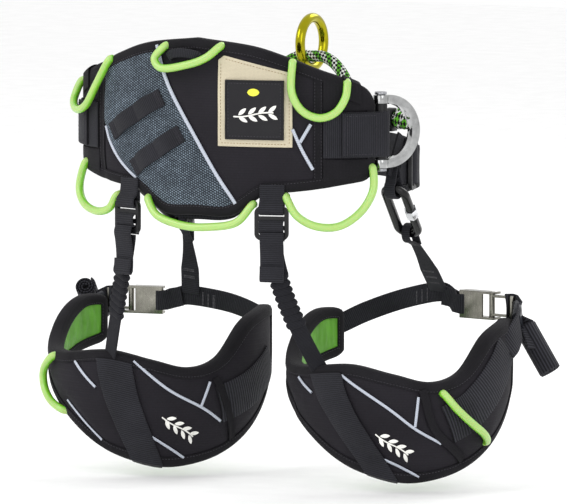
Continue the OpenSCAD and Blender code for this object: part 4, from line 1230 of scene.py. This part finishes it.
class SADDLE_OT_side_rings(bpy.types.Operator):
    """Builds the forged side rings with their pins and sleeves"""

    bl_idname = "saddle.side_rings"
    bl_label = "Side rings"

    def execute(self, context):
        for side in SIDES:
            machined(f"side_ring_bow_{side}", f"side_ring_{side}", finish("polished_aluminium"),
                     f"side_ring_{side}", 1.3)
        machined("side_ring_turned_pins", "side_ring_pins", finish("turned_steel"), "waist_belt",
                 0.7)
        machined("side_ring_black_sleeves", "side_ring_sleeves", finish("acetal"), "waist_belt",
                 0.5)
        return {"FINISHED"}


EYE_PT = front(1, 146, 35.5, 5) / MM
ROPE_HALF = [[13, 122, 56], [26, 121, 50], [38, 119, 38], [49, 115, 22], [60, 110, 6], [74, 105, 0]]


def rope_route():
    """The bridge rope's centreline from its left end to its right end, in metres."""
    half = [Vector(p) for p in ROPE_HALF] + [EYE_PT + Vector((-14, 0, 0)), EYE_PT + Vector((7, 0, 0))]
    mirrored = [Vector((-p.x, p.y, p.z)) for p in reversed(half)]
    return [p * MM for p in refine([*mirrored, Vector((0, 122, 56)), *half], 6)]


class SADDLE_OT_bridge(bpy.types.Operator):
    """Builds the rope bridge, its stopper knots and its anodised ring"""

    bl_idname = "saddle.bridge"
    bl_label = "Rope bridge"

    def execute(self, context):
        path = rope_route()
        bm = bmesh.new()
        sweep(bm, path, (0, 1, 0.3), round_section(5.75, 20))
        rope = piece("bridge_rope_line", closed_up(bm), finish("braided_rope"), "bridge",
                     ["bridge_rope"])
        for k, side in zip(SIGN, SIDES):
            bm = bmesh.new()
            coil = []
            for u in even(0, 1, 44):
                turn = math.tau * 2.15 * u
                coil.append(Vector((k * (EYE_PT.x + 6 + 13.5 * u), EYE_PT.y + 5.1 * math.sin(turn),
                                    EYE_PT.z + 5.1 * math.cos(turn))) * MM)
            sweep(bm, coil, (1, 0, 0), round_section(5.5, 16))
            piece(f"bridge_stopper_knot_{side}", closed_up(bm), finish("braided_rope"), "bridge")
        tuple(path[0])
        sum((b - a).length for a, b in zip(path, path[1:]))
        [tuple(p) for p in path]
        machined("bridge_anodised_ring", "bridge_ring", finish("gold_anodised"), "bridge_ring",
                 0.4)
        return {"FINISHED"}


class SADDLE_OT_buckles(bpy.types.Operator):
    """Builds the hook and frame halves of the waist and leg buckles"""

    bl_idname = "saddle.buckles"
    bl_label = "Buckles"

    def execute(self, context):
        nickel = finish("nickel_plate")
        machined("waist_buckle_hook_plate", "waist_buckle_hook", nickel, "waist_belt", 0.5)
        machined("waist_buckle_frame_bow", "waist_buckle_frame", nickel, "waist_buckle_frame",
                 0.5)
        for side in SIDES:
            machined(f"leg_buckle_hook_plate_{side}", f"leg_buckle_hook_{side}", nickel, f"leg_{side}",
                     0.5)
            machined(f"leg_buckle_frame_bow_{side}", f"leg_buckle_frame_{side}", nickel,
                     f"leg_buckle_frame_{side}", 0.5)
        return {"FINISHED"}


class SADDLE_OT_links(bpy.types.Operator):
    """Builds the steel leg links and their screw nuts"""

    bl_idname = "saddle.links"
    bl_label = "Leg links"

    def execute(self, context):
        for side in SIDES:
            machined(f"leg_link_bar_{side}", f"leg_link_{side}", finish("black_coated_steel"), f"leg_{side}",
                     0.4, angle=50)
            machined(f"leg_link_screw_nut_{side}", f"leg_link_nuts_{side}", finish("plated_steel"),
                     f"leg_{side}",
                     0.6)
        return {"FINISHED"}


# ---- the leg loops

JOIN = [Vector((-142, 125, -194)), Vector((144, 125, -176))]
INNER_Z = (-218, -212)
FRAME_BAR = [Vector((-231, 114, -200)), Vector((231, 114, -186))]
ROLLS = (((-262, 122, -196), (60, 0, 20), 30, 12), ((256, 121, -228), (0, -33, 0), 52, 13.5))
WRAP_TOP, WRAP_LOW = (5, -13), (21, 17)


def at_buckle(side, x, y, z):
    """A point of a leg buckle by its own plan, in metres."""
    turn = math.radians(-9)
    x, y = x - 31, y - 6.5
    spun = Vector((SIGN[side] * (x * math.cos(turn) - y * math.sin(turn)), x * math.sin(turn)
                   + y * math.cos(turn), z))
    return (FRAME_BAR[side] + spun) * MM


class SADDLE_OT_leg_pads(bpy.types.Operator):
    """Builds the padded shells, satin linings and edge tapes of the leg pads"""

    bl_idname = "saddle.leg_pads"
    bl_label = "Leg pads"

    def execute(self, context):
        for i, side in enumerate(SIDES):
            place, face = leg_map(i), FACES[i]
            body = f"leg_{side}"
            low, high = (lambda a: leg_low(a) + 1.5), (lambda a: leg_top(a) - 1.5)
            bm = bmesh.new()
            cushion(bm, 200, 48, LEG_END - 0.8, low, high, softened(face, 3),
                    lambda a, z, e: place(a, z, -10.8 + 2 * math.exp(-max(e, 0) / 3)), LEG_DEG)
            piece(f"leg_shell_pad_{side}", bm, finish("stretch_laminate"), body,
                            [f"leg_shell_{side}", f"leg_foam_{side}"])

            def satin(a, z, e):
                inside = 1 - math.exp(-max(e - 5, 0) / 7)
                gather = noise.noise(Vector((a / 5, z / 26, 3 + i))) + 0.6 * noise.noise(Vector((a / 2.2,
                        z / 15, 9 + i)))
                return place(a, z, -12 - (3.0 + 1.5 * gather) * inside)

            bm = bmesh.new()
            cushion(bm, 220, 50, LEG_END - 0.8, low, high,
                    lambda a, z, e: place(a, z, -11.1 - 0.5 * math.exp(-max(e, 0) / 2)), satin, LEG_DEG)
            piece(f"leg_satin_lining_{side}", bm, finish("satin_cloth"), body,
                            [f"leg_lining_{side}"])

            ring = rim(leg_low, leg_top, LEG_END - 0.2, LEG_DEG)
            bm = bmesh.new()
            strip(bm, face, ring, fold_section(BINDING, LEG_LINING - 1.4), 0, LEG_DEG, closed=True)
            piece(f"leg_edge_tape_{side}", closed_up(bm), finish("binding_tape"), body,
                  [f"leg_binding_{side}"], sharp=60)
            bm = bmesh.new()
            sewn(bm, offset_line(face, ring, BINDING - 1.8, 1.75, LEG_DEG))
            sewn(bm, offset_line(place, ring, BINDING - 1.8, LEG_LINING - 3.1, LEG_DEG))
            piece(f"leg_edge_stitching_{side}", bm, finish("black_thread"), body, sharp=0)
        return {"FINISHED"}


class SADDLE_OT_leg_trim(bpy.types.Operator):
    """Builds the wraps, ribbed webbing, seam tapes, piping and sprigs on the leg pads"""

    bl_idname = "saddle.leg_trim"
    bl_label = "Leg pad trim"

    def execute(self, context):
        for i, side in enumerate(SIDES):
            face, body, lines = FACES[i], f"leg_{side}", leg_lines(i)
            top, low = WRAP_TOP[i], WRAP_LOW[i]
            middle = [[0, top], [0.4, top * 0.7 + low * 0.3], [1, low]]
            wide, turns_at, over_face = 38, 0.86, 2.6

            def wrap(u, v, face=face, middle=middle):
                run = min(1, v / turns_at)
                centre = curve(run, middle)
                a = centre + (u - 0.5) * wide / LEG_DEG
                high, foot = leg_top(a) - 6, leg_low(a)
                if v <= turns_at:
                    sag = 1.2 * math.sin(math.pi * run) * (1 - (2 * u - 1) ** 2)
                    return face(a, high + (foot + 1 - high) * run, over_face + sag)
                turn = (v - turns_at) / 0.14
                return face(a, foot + 1 - 3.4 * math.sin(math.pi * turn), over_face - 19 * turn)

            bm = bmesh.new()
            lay_grid(bm, wrap, 16, 56, lambda u, v: (110 * v, wide * u))
            piece(f"leg_wrap_webbing_{side}", bm, finish("polyamide_webbing"), body,
                  [f"leg_wrap_{side}"], wall=1.8, soft_edge=0.5)

            route = ([[54, -292], [68, -278], [84, -250], [97, -222]] if i else
                     [[62, -288], [80, -276], [96, -260], [104, -250]])
            bm = bmesh.new()
            strip(bm, face, refine(route, 12), flat_section(42 if i else 40, 1.8, 12), 1.4, LEG_DEG)
            piece(f"leg_ribbed_webbing_{side}", closed_up(bm), finish("ribbed_webbing"), body)

            bm = bmesh.new()
            strip(bm, face, refine(lines["seam"], 10), flat_section(8, 1.6), 2.6, LEG_DEG)
            piece(f"leg_seam_tape_{side}", closed_up(bm), finish("binding_tape"), body)

            bm = bmesh.new()
            for name in ("main", "short", "low", "side", "rear"):
                if i and name == "rear":
                    continue
                strip(bm, face, refine(lines[name], 10), round_section(1.45, 10, 0.75), 1.2, LEG_DEG)
            piece(f"leg_pale_piping_{side}", closed_up(bm), finish("reflective_tape"), body)

            bm = bmesh.new()
            twig(bm, face, ((39, -309), (24, -311))[i], 20, math.radians(-32), 0.7, LEG_DEG)
            piece(f"leg_embroidered_sprig_{side}", closed_up(bm), finish("pale_thread"), body)
        return {"FINISHED"}


class SADDLE_OT_leg_straps(bpy.types.Operator):
    """Builds the front straps, the outer straps with their rolled tails, and the keepers"""

    bl_idname = "saddle.leg_straps"
    bl_label = "Leg straps"

    def execute(self, context):
        for i, side in enumerate(SIDES):
            k, j, body = SIGN[i], JOIN[i], f"leg_{side}"
            foot = HANG[i] / MM + LINK_DIR[i] * (2 * BEND_R + LINK_LEN)
            drop = (j - foot).normalized()
            bm, tacks = bmesh.new(), bmesh.new()
            eye(bm, foot * MM, drop, (1, 0, 0), EYE_R, 21, 9, WEB_T)
            top, end = foot + 16 * drop, j - 2 * drop
            mid = end - top
            path = [p * MM for p in refine([top, top + mid / 3 + Vector((0, 2, 0)),
                                            top + mid * 0.7 + Vector((0, 1.5, 0)), end], 8)]
            sweep(bm, path, (0, 0.7, 0.7), flat_section(LEG_WEB, 3),
                  size=lambda u: 0.52 + 0.48 * min(1, u / 0.55) ** 1.5)
            fall = j.z - INNER_Z[i]
            cross = [Vector(p) for p in ((k * 36, 101, INNER_Z[i] - 1), (k * 40.5, 108, INNER_Z[i]),
                                         (k * 62, 124, INNER_Z[i] + fall / 3), (k * 100, 131, INNER_Z[i]
                                                 + fall * 2 / 3 + 2),
                                         j)]
            bar = at_buckle(i, -27, 1.6, 0) / MM
            before = Vector((k * 158, 123.6, (j.z + bar.z) / 2))
            cross += [before, bar + Vector((-k * 4, 4.6, 0))]
            path = refine(cross, 7)
            path += [bar + Vector((k * math.sin(a) * 4.6, math.cos(a) * 4.6, 0)) for a in even(0.1, 3.1, 10)]
            path += [bar + Vector((-k * 7, -2.6, 0.5)), before + Vector((k * 3, -3.4, 0)), before
                     + Vector((-k * 8, -2.6, 2))]
            sweep(bm, [p * MM for p in path], (0, 0, 1), tall(LEG_WEB, WEB_T))
            piece(f"leg_front_strap_webbing_{side}", closed_up(bm), finish("polyamide_webbing"), body,
                  [f"leg_front_strap_{side}"])

            across = drop.cross(Vector((0, 0.7, 0.7))).normalized()
            out = across.cross(drop).normalized()
            for n, u in enumerate((0.58, 0.7, 0.82)):
                for d in (-0.9, 0.9):
                    for face_side in (-1, 1):
                        c = top + mid * u + Vector((0, 1.6, 0)) + drop * d + out * face_side * 1.75
                        sewn(tacks, [(c + across * x) * MM for x in even(-6.5, 6.5, 6)],
                             slant=drop * 1.5 * MM)
            for n in range(3):
                for face_side in (-1, 1):
                    c = j + Vector((-k * (14 + 6 * n), 1.0, -1.5 - fall * 0.05 * (n + 1)))
                    line = [(c + Vector((0, face_side * 1.6 + 1.1, z))) * MM for z in even(-7, 7, 6)]
                    sewn(tacks, line, slant=Vector((1.5 * MM, 0, 0)))
            piece(f"leg_strap_bartacks_{side}", tacks, finish("grey_thread"), body, sharp=0)

            bm = bmesh.new()
            z = FRAME_BAR[i].z
            start = FRAME_BAR[i]
            turn = [start + Vector((-k * math.cos(a) * 4.4, math.sin(a) * 4.4, 0))
                    for a in even(-1.2, 1.6, 10)]
            run = [Vector((k * 240, 112, z - 5)), Vector((k * 245, 103, z - 11)),
                   Vector((k * 249.5, 92, z - 19)),
                   Vector((k * 251.5, 78, z - 28)), Vector((k * 250, 66, z - 36))]
            path = turn + refine(run, 6)
            sweep(bm, [p * MM for p in path], (-k * 0.2, 0.25, 1), tall(LEG_WEB + 6, WEB_T))
            centre, tilt, wide, outer_r = ROLLS[i]
            spin = Matrix.Rotation(math.radians(tilt[2]), 3, "Z") @ Matrix.Rotation(math.radians(tilt[1]), 3,
                    "Y") \
                @ Matrix.Rotation(math.radians(tilt[0]), 3, "X")
            spiral = []
            for u in even(0, 1, 110):
                turn = math.tau * 3.1 * u + (2.2 if i else 0.4)
                r = 2.0 + (outer_r - 3.2) * u
                spiral.append((Vector(centre)
                               + spin @ Vector((r * math.cos(turn), r * math.sin(turn), 0))) * MM)
            axis = spin @ Vector((0, 0, 1))
            sweep(bm, spiral, axis, tall(wide, 1.9))
            nearest = start - Vector(centre)
            nearest -= axis * nearest.dot(axis)
            tail_end = Vector(centre) + nearest.normalized() * (outer_r - 1)
            tail_start = start + Vector((k * 4.6, 1, 0))
            lead = [tail_start, tail_start.lerp(tail_end, 0.5) + Vector((0, 4, 0)), tail_end]
            sweep(bm, [p * MM for p in refine(lead, 6)], axis, tall(LEG_WEB - 2, WEB_T))
            piece(f"leg_outer_strap_webbing_{side}", closed_up(bm), finish("ribbed_webbing"), body,
                  [f"leg_outer_strap_{side}"])

            bm = bmesh.new()
            a, b = Vector((k * 236, 118, z - 4)), Vector((k * 243, 103, z - 15))
            path = [p * MM for p in refine([a, a.lerp(b, 0.5) + Vector((k, 0, 0)), b], 6)]
            sweep(bm, path, (k, 0.3, 0), flat_section(27, 8, 6), size=lambda u: 1
                  + 0.1 * math.sin(math.pi * u))
            piece(f"leg_strap_keeper_{side}", closed_up(bm), finish("smoked_elastomer"), body,
                  sharp=50)
        return {"FINISHED"}


RISER_S, LOCK_Z = 81, -90
RISER_FOOT = (Vector((-128, -64, -229)), Vector((101, -58, -231)))


class SADDLE_OT_risers(bpy.types.Operator):
    """Builds the rear risers: tabs, ladder locks, strap tails and gathered elastic"""

    bl_idname = "saddle.risers"
    bl_label = "Rear risers"

    def execute(self, context):
        machined("riser_ladder_lock_frames", "riser_ladder_locks", finish("acetal"), "waist_belt",
                 0.9)
        tabs, tails = bmesh.new(), bmesh.new()
        for k in SIGN:
            s = k * RISER_S
            out = belt_map(s, 0, 1) - belt_map(s, 0, 0)
            loop = [(-52, 2.4), (-62, 3.2), (-68, 4.5), (-72, 8.2), (-77, 9), (-80.5, 7), (-81, 4),
                    (-79, 1.2),
                    (-72, 0.2), (-64, 0.6)]
            sweep(tabs, refine([belt_map(s, z, t) for z, t in loop], 5), out, flat_section(25, WEB_T))
            line = [(-84, 0.6), (-86.5, 3), (-87.5, 7), (-90, 9.6), (-95, 10), (-99, 7.5), (-99.6, 4),
                    (-102, 1.4),
                    (-108, 1.8)]
            sweep(tabs, refine([belt_map(s, z, t) for z, t in line], 5), out, flat_section(25, WEB_T))
            hang = [(-99, 9.5), (-106, 11.5), (-114, 10), (-126, 8.6), (-138, 8.4), (-145, 9)]
            sweep(tails, refine([belt_map(s + k, z, t) for z, t in hang], 6), out, flat_section(24, WEB_T))
            fold = [(-145, 9.2), (-147, 11), (-144, 12.6), (-138, 11.4), (-132, 11)]
            sweep(tails, refine([belt_map(s + k, z, t) for z, t in fold], 6), out, flat_section(24, WEB_T))
        piece("riser_tab_webbing", closed_up(tabs), finish("polyamide_webbing"), "waist_belt",
              ["riser_tabs"])
        piece("riser_tail_webbing", closed_up(tails), finish("polyamide_webbing"), "waist_belt",
              ["riser_tails"])
        gathers = context.scene.saddle_sizes.gathers
        for i, side in enumerate(SIDES):
            k = SIGN[i]
            head = belt_map(k * RISER_S, LOCK_Z - 20.5, 5) / MM
            foot = RISER_FOOT[i]

            def along(u, head=head, foot=foot):
                d = foot - head
                run = max(u, 0)
                return (head + Vector((d.x * run**1.3, d.y * run**1.6, d.z * u))) * MM

            bm = bmesh.new()
            up = (-k * 0.3, 1, 0)
            sweep(bm, [along(u) for u in even(-0.02, 0.27, 12)], up, flat_section(22, WEB_T))
            sweep(bm, [along(u) for u in even(0.25, 0.7, 16 * gathers)], up, flat_section(18.5, 6.4),
                  size=lambda u: 0.84 + 0.3 * abs(math.sin(math.pi * gathers * u)) ** 0.7)
            sweep(bm, [along(u) for u in even(0.68, 1.06, 12)], up, flat_section(17, WEB_T))
            riser = piece(f"riser_gathered_elastic_{side}", closed_up(bm), finish("gathered_elastic"), None,
                          [f"elastic_riser_{side}"])
            tuple(along(0))
            tuple(along(1))
            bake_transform(riser)
        return {"FINISHED"}


# ---- the stage


class SADDLE_OT_stage(bpy.types.Operator):
    """Builds the floor, the soft lights and the camera"""

    bl_idname = "saddle.stage"
    bl_label = "Stage"

    def execute(self, context):
        scene = context.scene
        scene.view_settings.view_transform = "Standard"
        azimuth, elevation, distance = math.radians(28.5), math.radians(5.7), 9.0
        back = Vector((math.sin(azimuth) * math.cos(elevation), -math.cos(azimuth) * math.cos(elevation),
                       math.sin(elevation)))
        camera = bpy.data.cameras.new("saddle_camera")
        camera.sensor_width, camera.lens = 36, 571.5
        camera.clip_start, camera.clip_end = 0.1, 60
        view = bpy.data.objects.new("saddle_camera", camera)
        view.rotation_mode = "QUATERNION"
        view.location = Vector((26, 14, -132)) * MM + back * distance
        view.rotation_quaternion = (-back).to_track_quat("-Z", "Y")
        scene.collection.objects.link(view)
        scene.camera = view

        lights = (
            ("key_light", (-1.6, -2.2, 1.9), 1.7, 30),
            ("fill_light", (2.4, -1.6, 0.9), 1.9, 14),
            ("back_light", (0.6, 2.4, 1.7), 1.8, 24),
            ("low_light", (0.2, -2.0, -0.2), 1.2, 4),
        )
        for name, place, size, power in lights:
            lamp = bpy.data.lights.new(name, "AREA")
            lamp.shape, lamp.size, lamp.energy = "DISK", size, power
            light = bpy.data.objects.new(name, lamp)
            light.rotation_mode = "QUATERNION"
            light.location = place
            light.rotation_quaternion = (Vector((0, 0, -0.15)) - Vector(place)).to_track_quat("-Z", "Y")
            scene.collection.objects.link(light)

        world = bpy.data.worlds.new("studio")
        world.use_nodes = True
        world.node_tree.nodes["Background"].inputs["Color"].default_value = (1, 1, 1, 1)
        world.node_tree.nodes["Background"].inputs["Strength"].default_value = 1.0
        scene.world = world

        bm = bmesh.new()
        bmesh.ops.create_grid(bm, x_segments=1, y_segments=1, size=6)
        bmesh.ops.translate(bm, verts=bm.verts[:], vec=(0, 0, -0.362))
        mesh = bpy.data.meshes.new("studio_floor")
        bm.to_mesh(mesh)
        bm.free()
        material, tree, shader = shaded("painted_floor", Roughness=0.9)
        where = add(tree, "TexCoord").outputs["Object"]
        grain = add(tree, "TexNoise", {"Vector": where, "Scale": 30, "Detail": 3}).outputs["Fac"]
        paint(tree, shader, ramp(tree, grain, [(0.3, linear("#f8f8f8")), (0.7, linear("#fdfdfd"))]), grain,
              0.05)
        mesh.materials.append(material)
        floor = bpy.data.objects.new("studio_floor", mesh)
        scene.collection.objects.link(floor)
        return {"FINISHED"}


# ---- the panel, and the order of work

STEPS = (
    SADDLE_OT_stage,
    SADDLE_OT_bridge,
    SADDLE_OT_belt_pad,
    SADDLE_OT_belt_edge,
    SADDLE_OT_mesh_and_piping,
    SADDLE_OT_label,
    SADDLE_OT_belt_webbing,
    SADDLE_OT_gear_loops,
    SADDLE_OT_front_webbing,
    SADDLE_OT_side_rings,
    SADDLE_OT_buckles,
    SADDLE_OT_links,
    SADDLE_OT_leg_pads,
    SADDLE_OT_leg_trim,
    SADDLE_OT_leg_straps,
    SADDLE_OT_risers,
)


class SADDLE_PT_panel(bpy.types.Panel):
    """Lists the saddle's sizes and colours, and the steps that build it"""

    bl_idname = "SADDLE_PT_panel"
    bl_label = "Tree climbing saddle"
    bl_space_type = "VIEW_3D"
    bl_region_type = "UI"
    bl_category = "Saddle"

    def draw(self, context):
        for group in (context.scene.saddle_sizes, context.scene.saddle_colours):
            for name in group.bl_rna.properties.keys():
                if name not in ("name", "rna_type"):
                    self.layout.prop(group, name)
        for step in STEPS:
            self.layout.operator(step.bl_idname)


CLASSES = (SaddleSizes, SaddleColours, *STEPS, SADDLE_PT_panel)


def register():
    for item in CLASSES:
        bpy.utils.register_class(item)
    bpy.types.Scene.saddle_sizes = bpy.props.PointerProperty(type=SaddleSizes)
    bpy.types.Scene.saddle_colours = bpy.props.PointerProperty(type=SaddleColours)


def unregister():
    del bpy.types.Scene.saddle_colours
    del bpy.types.Scene.saddle_sizes
    for item in reversed(CLASSES):
        bpy.utils.unregister_class(item)


def main():
    register()
    for step in STEPS:
        group, name = step.bl_idname.split(".")
        getattr(getattr(bpy.ops, group), name)()


if __name__ == "__main__":
    main()
